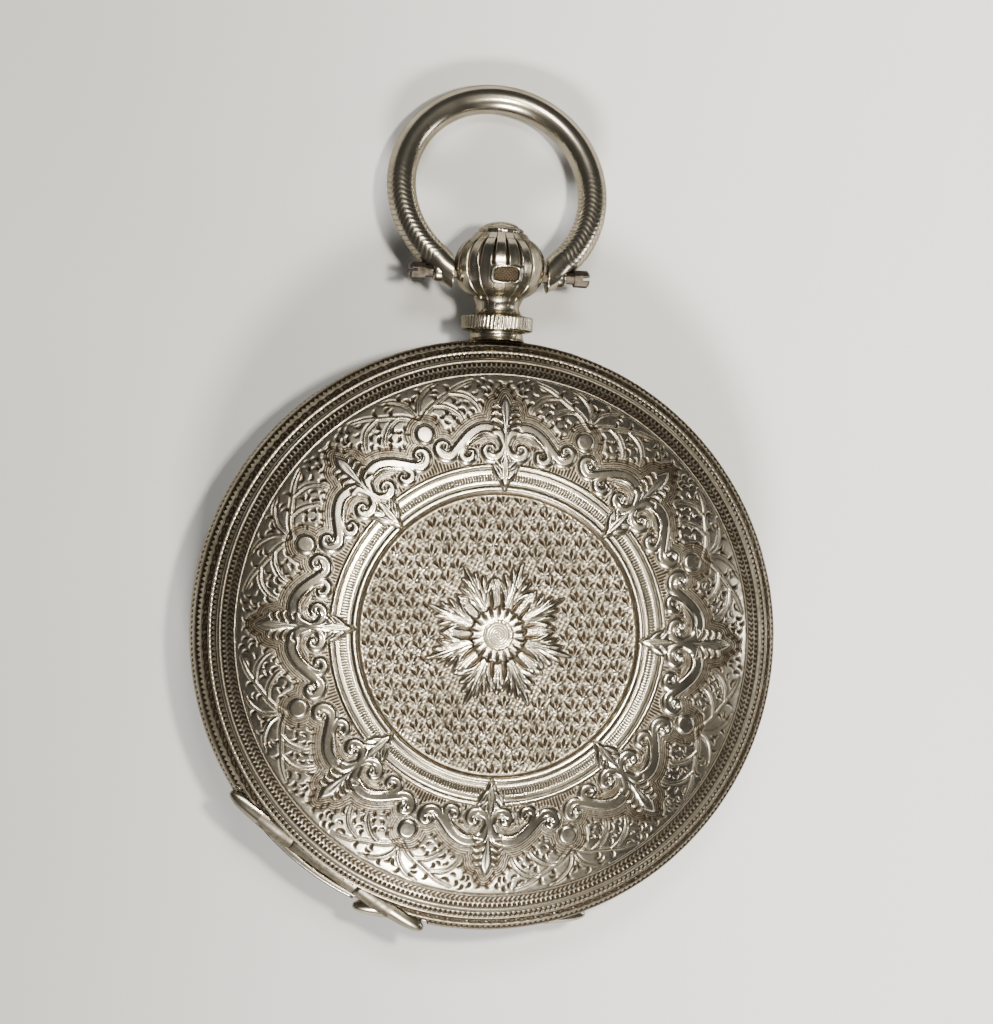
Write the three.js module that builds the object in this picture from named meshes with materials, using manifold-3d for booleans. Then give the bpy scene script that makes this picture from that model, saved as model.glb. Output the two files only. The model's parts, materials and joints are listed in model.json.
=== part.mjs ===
// A key-wound hunter pocket watch, closed and lying on its front lid with the back cover up.
// Millimetres, +Z up. The origin is the centre of the front lid's flat medallion, on the table.
// +Y runs to the pendant, which is at twelve o'clock, and the dial faces down.

import * as THREE from "three";
import { mergeVertices } from "three/addons/utils/BufferGeometryUtils.js";
import Module from "manifold-3d";

const wasm = await Module();
wasm.setup();

// ---- Driving dimensions ----
const CASE_RADIUS = 22;
const CASE_HEIGHT = 12.4;
const MID_PLANE = CASE_HEIGHT / 2;
const MEDALLION_RADIUS = 10.6; // flat centre of each cover
const COVER_PLANE = 5.2; // where the front lid meets the case band
const RIM_HEIGHT = 1.0; // from the mid plane to the cover's vertical edge
const COVER_WALL = 0.5;
const CASE_SEGMENTS = 42; // facets round the case
const SEAM = 0.05; // gap between faces that close on each other
const FIT = 0.06; // radial clearance of a turning fit

const BAND_INNER = 20.3; // case band, inside
const RING_OUTER = 18.05; // inner ring that holds the movement
const RING_INNER = 17.5;
const RING_FRONT = 4.45;
const WEB = { z0: 6.6, z1: 7.0 }; // joins the inner ring to the band
const LEDGE = { radius: 16.6, z0: 6.0, z1: 6.4 }; // inside lip that the case screws clamp

const COVER_HINGE = { radius: 20.66, z: 5.2, tube: 0.9, half: 8.7, middle: 2.9, pin: 0.35, chord: 0.25 };
const GLASS_HINGE = { radius: 18.6, z: 4.4, tube: 0.45, half: 4.5, middle: 1.5, pin: 0.18, chord: 0.12 };
const BACK_HINGE_TURN = -33; // degrees round the case from the front lid's hinge

const PENDANT_AXIS_Z = MID_PLANE;
const BALL = { radius: 3.45, y0: 25.0, y1: 30.1 };
const BOW = {
  pivotY: 27.0,
  centre: 6.94, // from the pivot to the middle of the ring
  halfWidth: 7.33,
  halfLength: 7.62,
  wire: 1.1,
  droop: 20.5, // degrees below the plane of the case, where the ring rests on the table
  endX: 4.55,
};
const PUSH = { flange: 1.7, shaft: 0.8, tip: 20.05 };

const PLATE = { radius: 17.3, z0: 4.9, z1: 5.9 };
const DIAL = { radius: 16.9, z0: 3.3, z1: 3.7 };
const BAR = { z0: 8.1, z1: 8.9 };
const CENTRE_AT = [0, 0];
const BARREL_AT = [0, 7.92];
const THIRD_AT = [2.87, -4.25];
const FOURTH_AT = [0, -7.5];
const ESCAPE_AT = [-3.96, -7.5];
const BALANCE_AT = [-6.29, -5.17];
const MINUTE_WHEEL_AT = [2.12, 2.12];

const TEETH = {
  barrel: 64, centrePinion: 8, centre: 48, thirdPinion: 6, third: 45, fourthPinion: 6,
  fourth: 60, escapePinion: 6, cannon: 10, minute: 30, minutePinion: 8, hour: 32, escape: 15, ratchet: 20,
};

// ---- Materials ----
const finish = (color, metalness, roughness) => new THREE.MeshStandardMaterial({ color, metalness, roughness });
const SILVER = () => finish(0xc9c3b4, 1, 0.34);
const STEEL = () => finish(0x8d8f92, 1, 0.25);
const DARK_STEEL = () => finish(0x4a4642, 1, 0.4);
const BLUED = () => finish(0x24347a, 1, 0.25);
const GILT = () => finish(0xd2a54e, 1, 0.35);
const BRASS = () => finish(0xc39a45, 1, 0.3);
const ENAMEL = () => finish(0xf1eee4, 0, 0.18);
const GLASS = () => finish(0xe6eef0, 0, 0.05);

// ---- Solids ----
const radians = THREE.MathUtils.degToRad;

function signedVolume(position, index) {
  const a = new THREE.Vector3();
  const b = new THREE.Vector3();
  const c = new THREE.Vector3();
  let sum = 0;
  for (let i = 0; i < index.length; i += 3) {
    a.fromBufferAttribute(position, index[i]);
    b.fromBufferAttribute(position, index[i + 1]);
    c.fromBufferAttribute(position, index[i + 2]);
    sum += a.dot(b.cross(c));
  }
  return sum;
}

// Turns a closed three.js geometry into a manifold solid with its faces pointing out.
function solid(geometry) {
  geometry.deleteAttribute("normal");
  geometry.deleteAttribute("uv");
  const merged = mergeVertices(geometry, 1e-4);
  const source = merged.index.array;
  let index = [];
  for (let i = 0; i < source.length; i += 3) {
    const [a, b, c] = [source[i], source[i + 1], source[i + 2]];
    if (a !== b && b !== c && c !== a) index.push(a, b, c);
  }
  if (signedVolume(merged.attributes.position, index) < 0) index = index.reverse();
  const vertProperties = new Float32Array(merged.attributes.position.array);
  return new wasm.Manifold(new wasm.Mesh({ numProp: 3, vertProperties, triVerts: new Uint32Array(index) }));
}

const union = (...parts) => parts.reduce((whole, part) => whole.add(part));
const cut = (body, ...tools) => tools.reduce((left, tool) => left.subtract(tool), body);

// Revolves [radius, z] points about +Z.
function turned(points, segments = 24) {
  const profile = points.map(([r, z]) => new THREE.Vector2(r, z));
  return solid(new THREE.LatheGeometry(profile, segments).rotateX(Math.PI / 2));
}

function cylinder(radius, z0, z1, [x, y] = [0, 0], segments = 16) {
  const shape = new THREE.CylinderGeometry(radius, radius, z1 - z0, segments).rotateX(Math.PI / 2);
  return solid(shape.translate(x, y, (z0 + z1) / 2));
}

// A cylinder along +X between two values of x.
function axle(radius, x0, x1, y, z, segments = 12) {
  const shape = new THREE.CylinderGeometry(radius, radius, x1 - x0, segments).rotateZ(Math.PI / 2);
  return solid(shape.translate((x0 + x1) / 2, y, z));
}

// A cylinder along +Y between two values of y.
function stem(radius, y0, y1, x, z, segments = 16) {
  return solid(new THREE.CylinderGeometry(radius, radius, y1 - y0, segments).translate(x, (y0 + y1) / 2, z));
}

function box([x0, y0, z0], [x1, y1, z1]) {
  const shape = new THREE.BoxGeometry(x1 - x0, y1 - y0, z1 - z0);
  return solid(shape.translate((x0 + x1) / 2, (y0 + y1) / 2, (z0 + z1) / 2));
}

function ring(inner, outer, z0, z1, segments = 48) {
  return turned([[inner, z0], [outer, z0], [outer, z1], [inner, z1], [inner, z0]], segments);
}

// Extrudes a shape drawn in the XY plane from z0 to z1.
function slab(shape, z0, z1) {
  const geometry = new THREE.ExtrudeGeometry(shape, { depth: z1 - z0, bevelEnabled: false });
  return solid(geometry.translate(0, 0, z0));
}

const polar = (radius, degrees) => [radius * Math.cos(radians(degrees)), radius * Math.sin(radians(degrees))];
const polygon = (points) => new THREE.Shape(points.map(([x, y]) => new THREE.Vector2(x, y)));

// A straight bar with round ends from one point to another.
function bar(from, to, radius, z0, z1, toRadius = radius, steps = 6) {
  const heading = Math.atan2(to[1] - from[1], to[0] - from[0]);
  const points = [];
  for (let i = 0; i <= steps; i += 1) {
    const angle = heading + Math.PI / 2 + (Math.PI * i) / steps;
    points.push([from[0] + radius * Math.cos(angle), from[1] + radius * Math.sin(angle)]);
  }
  for (let i = 0; i <= steps; i += 1) {
    const angle = heading - Math.PI / 2 + (Math.PI * i) / steps;
    points.push([to[0] + toRadius * Math.cos(angle), to[1] + toRadius * Math.sin(angle)]);
  }
  return slab(polygon(points), z0, z1);
}

// A strip that follows the case's curve, between two radii and two angles.
function arcStrip(inner, outer, from, to, z0, z1, steps) {
  const points = [];
  for (let i = 0; i <= steps; i += 1) points.push(polar(outer, from + ((to - from) * i) / steps));
  for (let i = steps; i >= 0; i -= 1) points.push(polar(inner, from + ((to - from) * i) / steps));
  return slab(polygon(points), z0, z1);
}

// A flat strip wound into a spiral of a given number of turns.
function spiral(inner, outer, turns, thickness, z0, z1, [x, y], perTurn = 20) {
  const points = [];
  const steps = Math.round(turns * perTurn);
  const at = (i, offset) => polar(inner + ((outer - inner) * i) / steps + offset, (360 * i) / perTurn);
  for (let i = 0; i <= steps; i += 1) points.push(at(i, thickness / 2));
  for (let i = steps; i >= 0; i -= 1) points.push(at(i, -thickness / 2));
  return slab(polygon(points), z0, z1).translate([x, y, 0]);
}

// ---- Wheels ----
// Pointed teeth, with tooth centres at multiples of the pitch, counted from the phase angle.
function toothed(teeth, root, tip, z0, z1, at, phase = 0) {
  const pitch = 360 / teeth;
  const points = [];
  for (let i = 0; i < teeth; i += 1) {
    const centre = phase + i * pitch;
    points.push(polar(tip, centre));
    points.push(polar(root, centre + pitch / 2));
  }
  return slab(polygon(points), z0, z1).translate([at[0], at[1], 0]);
}

function leaves(count, pitchRadius, module, z0, z1, at, phase = 0) {
  const pitch = 360 / count;
  const root = pitchRadius - 0.75 * module;
  const tip = pitchRadius + 0.5 * module;
  const points = [];
  for (let i = 0; i < count; i += 1) {
    const centre = phase + i * pitch;
    points.push(polar(root, centre - 0.17 * pitch));
    points.push(polar(tip, centre - 0.06 * pitch));
    points.push(polar(tip, centre + 0.06 * pitch));
    points.push(polar(root, centre + 0.17 * pitch));
  }
  return slab(polygon(points), z0, z1).translate([at[0], at[1], 0]);
}

// Windows that leave a rim, a hub and straight-sided arms.
function crossings(arms, hub, rim, armWidth, z0, z1, at, phase = 0) {
  const windows = [];
  const steps = 3;
  for (let i = 0; i < arms; i += 1) {
    const start = phase + (360 * i) / arms;
    const end = start + 360 / arms;
    const edge = (radius) => THREE.MathUtils.radToDeg(Math.asin(armWidth / 2 / radius));
    const points = [polar(hub, start + edge(hub)), polar(hub, end - edge(hub))];
    for (let k = 0; k <= steps; k += 1) {
      const from = end - edge(rim);
      points.push(polar(rim, from + ((start + edge(rim) - from) * k) / steps));
    }
    windows.push(slab(polygon(points), z0 - 1, z1 + 1).translate([at[0], at[1], 0]));
  }
  return windows;
}

function wheel(teeth, pitchRadius, module, z0, z1, at, phase) {
  const blank = toothed(teeth, pitchRadius - 1.3 * module, pitchRadius + 0.5 * module, z0, z1, at, phase);
  const rim = pitchRadius - 2.6 * module;
  return cut(blank, ...crossings(4, 0.24 * pitchRadius, rim, 0.11 * pitchRadius, z0, z1, at, 20));
}

// A shaft given as [radius, z] steps from its lower end to its upper end.
function arbor(steps, at, segments = 10) {
  const points = [[0, steps[0][1]]];
  for (let i = 0; i < steps.length - 1; i += 1) {
    points.push([steps[i][0], steps[i][1]], [steps[i][0], steps[i + 1][1]]);
  }
  points.push([0, steps[steps.length - 1][1]]);
  return turned(points, segments).translate([at[0], at[1], 0]);
}

// Angle from one centre to another, and the pinion phase that puts a leaf in the gap facing the wheel.
const bearing = (from, to) => THREE.MathUtils.radToDeg(Math.atan2(to[1] - from[1], to[0] - from[0]));
const gapFacing = (from, to, teeth) => bearing(from, to) + 180 / teeth;

// ---- Screws ----
// A slotted screw along +Z with the underside of its head at z.
function screw(at, z, headRadius, headHeight, shankRadius, shankLength, slotTurn = 0) {
  const body = turned([
    [0, z - shankLength], [shankRadius, z - shankLength], [shankRadius, z], [headRadius, z],
    [headRadius, z + 0.7 * headHeight], [headRadius - 0.12, z + headHeight], [0, z + headHeight],
  ], 10);
  const slot = box([-headRadius - 1, -0.11, z + 0.55 * headHeight], [headRadius + 1, 0.11, z + headHeight + 1]);
  return cut(body, slot.rotate([0, 0, slotTurn])).translate([at[0], at[1], 0]);
}

// ---- The two covers ----
// Outside height of a cover above the mid plane at a radius: flat, then one bassine curve to the rim.
function coverHeight(radius) {
  if (radius <= MEDALLION_RADIUS) return MID_PLANE;
  const share = (radius - MEDALLION_RADIUS) / (CASE_RADIUS - MEDALLION_RADIUS);
  return RIM_HEIGHT + (MID_PLANE - RIM_HEIGHT) * (1 - share * share) ** 0.6;
}

const COVER_STATIONS = [10.6, 14, 16.8, 18.9, 20.5, 21.5, 22];

function coverOutside() {
  return COVER_STATIONS.map((radius) => [radius, MID_PLANE - coverHeight(radius)]);
}

// The same curve moved in by the wall thickness, along its normals.
function coverInside() {
  const outside = coverOutside();
  return outside.slice(0, -1).map(([radius, z], i) => {
    const [r0, z0] = outside[Math.max(i - 1, 0)];
    const [r1, z1] = outside[i + 1];
    const length = Math.hypot(r1 - r0, z1 - z0);
    return [radius - (COVER_WALL * (z1 - z0)) / length, z + (COVER_WALL * (r1 - r0)) / length];
  });
}

const RIM_TOP = COVER_PLANE - SEAM;

// Everything inside a cover's outer surface, up to its rim.
function coverEnvelope() {
  const rim = [[CASE_RADIUS - 0.02, RIM_TOP], [0, RIM_TOP]];
  return turned([[0, 0], ...coverOutside().slice(0, -1), ...rim], CASE_SEGMENTS);
}

function coverShell() {
  const inside = coverInside().reverse();
  const rim = [[CASE_RADIUS - 0.02, RIM_TOP], [CASE_RADIUS - COVER_WALL - 0.1, RIM_TOP]];
  const outline = [[0, 0], ...coverOutside().slice(0, -1), ...rim, ...inside, [0, COVER_WALL]];
  return turned(outline, CASE_SEGMENTS);
}

// ---- Hinges ----
// Each hinge is drawn at six o'clock on the front side. The moving leaf has the middle knuckle.
const movingKnuckle = (hinge) => axle(hinge.tube, -hinge.middle, hinge.middle, -hinge.radius, hinge.z);

function fixedKnuckles(hinge) {
  const inner = hinge.middle + SEAM;
  return union(
    axle(hinge.tube, inner, hinge.half, -hinge.radius, hinge.z),
    axle(hinge.tube, -hinge.half, -inner, -hinge.radius, hinge.z),
  );
}

const pinBore = (hinge) => axle(hinge.pin + FIT, -hinge.half - 1, hinge.half + 1, -hinge.radius, hinge.z, 8);

function hingePin(hinge) {
  return axle(hinge.pin, -hinge.half + SEAM, hinge.half - SEAM, -hinge.radius, hinge.z, 8);
}

// Room round the fixed knuckles and beyond the axis, cut from the moving leaf.
function leafRoom(hinge, depth) {
  const inner = hinge.middle;
  const outer = hinge.half + 2 * SEAM;
  const wide = hinge.tube + FIT;
  const edge = -hinge.radius + hinge.chord;
  return [
    axle(wide, inner, outer, -hinge.radius, hinge.z),
    axle(wide, -outer, -inner, -hinge.radius, hinge.z),
    box([-outer, edge - 5, hinge.z - depth], [outer, edge, hinge.z + 1]),
  ];
}

// Room round the moving knuckle, cut from the case.
function knuckleRoom(hinge) {
  const half = hinge.middle + SEAM;
  return axle(hinge.tube + FIT, -half, half, -hinge.radius, hinge.z);
}

// Puts a piece drawn on the front side at its place on the back side.
const onBack = (body) => body.rotate([0, 180, 0]).rotate([0, 0, BACK_HINGE_TURN]).translate([0, 0, CASE_HEIGHT]);

// One cover with its hinge leaf, drawn as the front lid.
function coverWithLeaf() {
  const hinge = COVER_HINGE;
  const inward = -hinge.radius + hinge.tube + 0.36;
  const block = box([-9.3, -CASE_RADIUS, 1.6], [9.3, inward, RIM_TOP]).intersect(coverEnvelope());
  const leaf = cut(union(coverShell(), block), ...leafRoom(hinge, 4));
  const web = box([-hinge.middle, -hinge.radius + hinge.chord, hinge.z - 1.3], [hinge.middle, inward, RIM_TOP]);
  return cut(union(leaf, web, movingKnuckle(hinge)), pinBore(hinge));
}

function frontLid() {
  const lip = box([-1.6, 20.35, 3.75], [1.6, 21.5, 4.3]).intersect(coverEnvelope());
  return union(coverWithLeaf(), lip);
}

const backCover = () => onBack(coverWithLeaf());

// ---- Case middle ----
function caseMiddle() {
  const backPlane = CASE_HEIGHT - COVER_PLANE;
  const low = COVER_PLANE + SEAM;
  const high = backPlane - SEAM;
  const band = turned([
    [RING_INNER, RING_FRONT], [RING_OUTER, RING_FRONT], [RING_OUTER, WEB.z0], [BAND_INNER, WEB.z0], [BAND_INNER, low],
    [CASE_RADIUS - 0.1, low], [CASE_RADIUS, low + 0.25], [CASE_RADIUS, high - 0.25], [CASE_RADIUS - 0.1, high],
    [BAND_INNER, high], [BAND_INNER, WEB.z1], [RING_OUTER, WEB.z1], [RING_OUTER, CASE_HEIGHT - RING_FRONT],
    [RING_INNER, CASE_HEIGHT - RING_FRONT], [RING_INNER, LEDGE.z1], [LEDGE.radius, LEDGE.z1],
    [LEDGE.radius, LEDGE.z0], [RING_INNER, LEDGE.z0], [RING_INNER, RING_FRONT],
  ], CASE_SEGMENTS);
  const seatOf = (hinge) => {
    const inner = hinge.middle + SEAM;
    const seat = (x0, x1) => box([x0, -hinge.radius, hinge.z + 0.1], [x1, -RING_INNER - 0.2, hinge.z + 0.9]);
    return union(seat(inner, hinge.half), seat(-hinge.half, -inner));
  };
  const fixed = union(fixedKnuckles(COVER_HINGE), fixedKnuckles(GLASS_HINGE), seatOf(GLASS_HINGE));
  const room = union(knuckleRoom(COVER_HINGE), knuckleRoom(GLASS_HINGE), pinBore(COVER_HINGE), pinBore(GLASS_HINGE));
  const body = union(band, fixed, onBack(fixed));
  const pushRoom = stem(PUSH.shaft + 0.1, 19.3, CASE_RADIUS + 1, 0, PENDANT_AXIS_Z);
  const caseScrewRoom = CASE_SCREWS.map((at) => cylinder(0.55, LEDGE.z0 - 1, LEDGE.z1 + 1, at, 10));
  return cut(body, room, onBack(room), pushRoom, ...caseScrewRoom);
}

// ---- Bezel, crystal and cuvette ----
function bezel() {
  const back = GLASS_HINGE.z - SEAM / 2;
  const glassRing = turned([
    [16.0, 1.95], [17.2, 2.1], [18.9, 3.05], [19.0, back], [18.15, back], [17.9, 3.3],
    [16.4, 2.8], [16.4, 2.12], [16.0, 2.08], [16.0, 1.95],
  ], 40);
  const leaf = cut(glassRing, ...leafRoom(GLASS_HINGE, 2));
  return cut(union(leaf, movingKnuckle(GLASS_HINGE)), pinBore(GLASS_HINGE));
}

function crystal() {
  return turned([
    [0, 1.2], [9, 1.42], [16.3, 2.17], [16.3, 2.68], [9, 1.97], [0, 1.75],
  ], 36);
}

const CUVETTE_TOP = 11.1;

function cuvette() {
  const edge = CASE_HEIGHT - GLASS_HINGE.z + SEAM / 2;
  const dome = turned([
    [0, CUVETTE_TOP], [14, 10.95], [17.4, 10.25], [18.8, 9.4], [19.0, edge],
    [18.2, edge], [18.1, 9.15], [17.1, 9.82], [14, 10.52], [0, 10.66],
  ], CASE_SEGMENTS);
  const room = leafRoom(GLASS_HINGE, 2).map(onBack);
  const leaf = cut(dome, ...room);
  const keyHoles = [CENTRE_AT, BARREL_AT].map((at) => cylinder(1.3, 9, 12, at, 16));
  return cut(union(leaf, onBack(movingKnuckle(GLASS_HINGE))), onBack(pinBore(GLASS_HINGE)), ...keyHoles);
}

// ---- Pendant, bow and push piece ----
// The pendant's profile is turned about the case's +Y axis.
const alongY = (body) => body.rotate([-90, 0, 0]).translate([0, 0, PENDANT_AXIS_Z]);

function pendant() {
  const round = [];
  const half = (BALL.y1 - BALL.y0) / 2;
  const middleY = BALL.y0 + half;
  for (const angle of [-62, -40, -20, 0, 20, 40, 57]) {
    round.push([BALL.radius * Math.cos(radians(angle)), middleY + half * Math.sin(radians(angle))]);
  }
  const profile = [
    [0, 21.4], [2.3, 21.4], [1.95, 22.5], [1.9, 22.75], [2.7, 22.8], [2.7, 23.85], [1.75, 24.1], [1.6, 24.6],
    ...round, [1.95, BALL.y1], [0, BALL.y1],
  ];
  const body = alongY(turned(profile, 18));
  const caseRoom = cylinder(CASE_RADIUS + 0.04, 0, CASE_HEIGHT, [0, 0], CASE_SEGMENTS);
  const flangeRoom = stem(PUSH.flange + 0.1, BALL.y1 - 0.85, BALL.y1 + 1, 0, PENDANT_AXIS_Z, 20);
  const shaftRoom = stem(PUSH.shaft + 0.1, 20, BALL.y1 + 1, 0, PENDANT_AXIS_Z);
  const bores = axle(0.5, -BALL.radius - 1, BALL.radius + 1, BOW.pivotY, PENDANT_AXIS_Z, 12);
  const between = box([-1.7, BOW.pivotY - 0.9, PENDANT_AXIS_Z - 0.9], [1.7, BOW.pivotY + 0.9, PENDANT_AXIS_Z + 0.9]);
  return cut(body, caseRoom, flangeRoom, shaftRoom, cut(bores, between));
}

function pushPiece() {
  const flangeY = BALL.y1 - 0.1;
  return alongY(turned([
    [0, PUSH.tip], [PUSH.shaft - 0.15, PUSH.tip], [PUSH.shaft, PUSH.tip + 0.2], [PUSH.shaft, flangeY],
    [PUSH.flange, flangeY], [PUSH.flange, flangeY + 0.4], [1.35, flangeY + 0.75], [0.7, flangeY + 0.95],
    [0, flangeY + 1.0],
  ], 20));
}

// The bow is drawn flat about its pivot, then laid over by its droop.
function bow() {
  const onRing = (degrees) => {
    const [x, y] = polar(1, degrees);
    return new THREE.Vector3(BOW.halfWidth * x, BOW.centre + BOW.halfLength * y, 0);
  };
  const first = -47;
  const steps = 34;
  const points = [new THREE.Vector3(BOW.endX, 0, 0)];
  for (let i = 0; i <= steps; i += 1) points.push(onRing(first + ((180 - 2 * first) * i) / steps));
  points.push(new THREE.Vector3(-BOW.endX, 0, 0));
  const section = [];
  for (let i = 0; i < 8; i += 1) section.push(polar(BOW.wire, 45 * i));
  const geometry = new THREE.ExtrudeGeometry(polygon(section), {
    steps: 30, bevelEnabled: false, extrudePath: new THREE.CatmullRomCurve3(points),
  });
  const lug = (x0, x1) => axle(1.15, x0, x1, 0, 0, 14);
  const body = union(solid(geometry), lug(3.7, 5.25), lug(-5.25, -3.7));
  const bore = axle(0.52, -7, 7, 0, 0, 10);
  return cut(body, bore).rotate([-BOW.droop, 0, 0]).translate([0, BOW.pivotY, PENDANT_AXIS_Z]);
}

function bowScrew(side) {
  const body = turned([
    [0, 2.1], [0.44, 2.1], [0.44, 5.7], [0.66, 5.7], [0.66, 6.7], [0.5, 6.85], [0, 6.85],
  ], 10);
  const slotted = cut(body, box([-1, -0.12, 6.3], [1, 0.12, 7]));
  return slotted.rotate([0, 90 * side, 0]).translate([0, BOW.pivotY, PENDANT_AXIS_Z]);
}

// ---- Springs of the case ----
const LOCK_SCREW_AT = polar(19.1, 200);
const LIFT_SCREW_AT = polar(19.1, 28);

function lockSpring() {
  const strip = arcStrip(19.2, 19.6, 98, 198.5, 5.45, 6.45, 18);
  const nose = arcStrip(18.75, 19.95, 85, 99, 5.2, 6.5, 3);
  const catchTip = arcStrip(19.5, 20.2, 86.5, 93.5, 3.9, 5.3, 2);
  const eye = cylinder(0.85, 5.45, 6.45, LOCK_SCREW_AT);
  return cut(union(strip, nose, catchTip, eye), cylinder(0.42, 5, 7, LOCK_SCREW_AT, 12));
}

function liftSpring() {
  const strip = arcStrip(19.2, 19.6, -46, 27, 5.45, 6.4, 14);
  const nose = arcStrip(19.2, 20.0, -52, -45, 4.9, 6.4, 2);
  const eye = cylinder(0.85, 5.45, 6.4, LIFT_SCREW_AT);
  return cut(union(strip, nose, eye), cylinder(0.42, 5, 7, LIFT_SCREW_AT, 12));
}

// These screws enter the web from the front, so they are drawn upside down.
function springScrew(at) {
  const body = screw([0, 0], 0, 0.75, 0.45, 0.38, 1.1, 30).rotate([180, 0, 0]);
  return body.translate([at[0], at[1], 5.4]);
}

// ---- Dial side ----
const DIAL_FEET = [polar(15.2, 75), polar(15.2, 195), polar(15.2, 315)];

function dial() {
  const face = cylinder(DIAL.radius, DIAL.z0, DIAL.z1, [0, 0], 40);
  const feet = DIAL_FEET.map((at) => cylinder(0.35, DIAL.z1 - 0.1, PLATE.z0 + 0.6, at, 6));
  return cut(union(face, ...feet), cylinder(1.15, 0, 9, CENTRE_AT, 20), cylinder(0.35, 0, 4.2, FOURTH_AT, 12));
}

// A tapered hand that points at an angle, with a boss round its arbor.
function hand(at, degrees, length, tail, boss, bore, z0, z1) {
  const blade = polygon([
    [-tail, -0.22], [length * 0.72, -0.14], [length * 0.78, -0.42], [length, 0],
    [length * 0.78, 0.42], [length * 0.72, 0.14], [-tail, 0.22],
  ]);
  const body = union(slab(blade, z0, z1), cylinder(boss, z0, z1, [0, 0], 12));
  return cut(body, cylinder(bore, z0 - 1, z1 + 1, [0, 0], 10)).rotate([0, 0, degrees]).translate([at[0], at[1], 0]);
}

const MOTION_MODULE = 0.15;

function cannonPinion() {
  const pipe = arbor([[0.58, 2.35], [0.58, 4.78]], CENTRE_AT, 12);
  const face = bearing(CENTRE_AT, MINUTE_WHEEL_AT);
  const pinion = leaves(TEETH.cannon, 0.75, MOTION_MODULE, 4.3, 4.75, CENTRE_AT, face);
  return cut(union(pipe, pinion), cylinder(0.36, 2, 5, CENTRE_AT, 10));
}

function hourWheel() {
  const face = bearing(CENTRE_AT, MINUTE_WHEEL_AT);
  const teeth = toothed(TEETH.hour, 2.2, 2.47, 3.88, 4.1, CENTRE_AT, face + 180 / TEETH.hour);
  const pipe = cylinder(0.92, 2.72, 3.95, CENTRE_AT, 12);
  return cut(union(teeth, pipe), cylinder(0.66, 2, 5, CENTRE_AT, 12));
}

function minuteWheel() {
  const face = bearing(MINUTE_WHEEL_AT, CENTRE_AT);
  const teeth = toothed(TEETH.minute, 2.06, 2.32, 4.36, 4.6, MINUTE_WHEEL_AT, face + 180 / TEETH.minute);
  const pinion = leaves(TEETH.minutePinion, 0.6, MOTION_MODULE, 3.85, 4.4, MINUTE_WHEEL_AT, face);
  const hole = cylinder(0.3, 3, 5, MINUTE_WHEEL_AT, 10);
  return cut(union(teeth, pinion), hole);
}

// ---- Movement ----
const CASE_SCREWS = [polar(15.9, -10), polar(15.9, 190)];
const FEET = {
  barrelLeft: [-10.5, 10.2], barrelRight: [10.5, 10.2], centre: [12.8, 0.8], third: [12.2, -6.2],
  fourth: [7.6, -12.0], escape: [-2.5, -13.8], balance: [-11.2, -9.6],
};
const FOOT_RADIUS = 1.6;
const PIVOT = 0.14;
const PIVOT_HOLE = 0.2;

function mainPlate() {
  const plate = cylinder(PLATE.radius, PLATE.z0, PLATE.z1, [0, 0], 40);
  const post = cylinder(0.24, 3.82, PLATE.z0 + 0.2, MINUTE_WHEEL_AT, 10);
  const through = (at, radius, segments = 6) => cylinder(radius, PLATE.z0 - 1, PLATE.z1 + 1, at, segments);
  const pivots = [THIRD_AT, ESCAPE_AT, BALANCE_AT].map((at) => through(at, PIVOT_HOLE));
  const screwHoles = [...Object.values(FEET), ...CASE_SCREWS].map((at) => through(at, 0.5));
  const dialHoles = DIAL_FEET.map((at) => through(at, 0.45));
  const wide = [through(CENTRE_AT, 0.72, 12), through(FOURTH_AT, 0.3), through(BARREL_AT, 0.62, 12)];
  return union(cut(plate, ...pivots, ...screwHoles, ...dialHoles, ...wide), post);
}

// A bar or cock: arms from its feet to its pivot, standing on the plate.
function standing(feet, pivot, armRadius, pivotRadius, z0, z1, hole) {
  let body = cylinder(pivotRadius, z0, z1, pivot, 14);
  for (const foot of feet) {
    body = body.add(bar(foot, pivot, FOOT_RADIUS, z0, z1, armRadius));
    body = body.add(cylinder(FOOT_RADIUS, PLATE.z1 + SEAM, z0 + 0.2, foot, 10));
  }
  const screwHoles = feet.map((foot) => cylinder(0.48, PLATE.z0, z1 + 1, foot, 8));
  return cut(body, cylinder(hole, z0 - 1, z1 + 1, pivot, 8), ...screwHoles);
}

const BALANCE_COCK = { z0: 9.45, z1: 9.8 };
const BRIDGES = {
  barrel_bridge: [[FEET.barrelLeft, FEET.barrelRight], BARREL_AT, 2.4, 3.9, BAR.z0, BAR.z1, 0.62],
  center_bar: [[FEET.centre], CENTRE_AT, 1.4, 1.6, BAR.z0, BAR.z1, 0.5],
  third_cock: [[FEET.third], THIRD_AT, 1.1, 1.2, BAR.z0, BAR.z1, PIVOT_HOLE],
  fourth_cock: [[FEET.fourth], FOURTH_AT, 1.1, 1.2, BAR.z0, BAR.z1, PIVOT_HOLE],
  escape_cock: [[FEET.escape], ESCAPE_AT, 1.0, 1.1, BAR.z0, BAR.z1, PIVOT_HOLE],
  balance_cock: [[FEET.balance], BALANCE_AT, 1.7, 1.9, BALANCE_COCK.z0, BALANCE_COCK.z1, PIVOT_HOLE],
};

const moduleOf = (a, b, teethA, teethB) => (2 * Math.hypot(b[0] - a[0], b[1] - a[1])) / (teethA + teethB);
const BARREL_MODULE = moduleOf(BARREL_AT, CENTRE_AT, TEETH.barrel, TEETH.centrePinion);
const CENTRE_MODULE = moduleOf(CENTRE_AT, THIRD_AT, TEETH.centre, TEETH.thirdPinion);
const THIRD_MODULE = moduleOf(THIRD_AT, FOURTH_AT, TEETH.third, TEETH.fourthPinion);
const FOURTH_MODULE = moduleOf(FOURTH_AT, ESCAPE_AT, TEETH.fourth, TEETH.escapePinion);
const pitchRadius = (module, teeth) => (module * teeth) / 2;
const DRUM = { z0: 5.98, teethTop: 6.3, z1: 7.46, wall: 0.35, inner: 5.95 };

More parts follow.
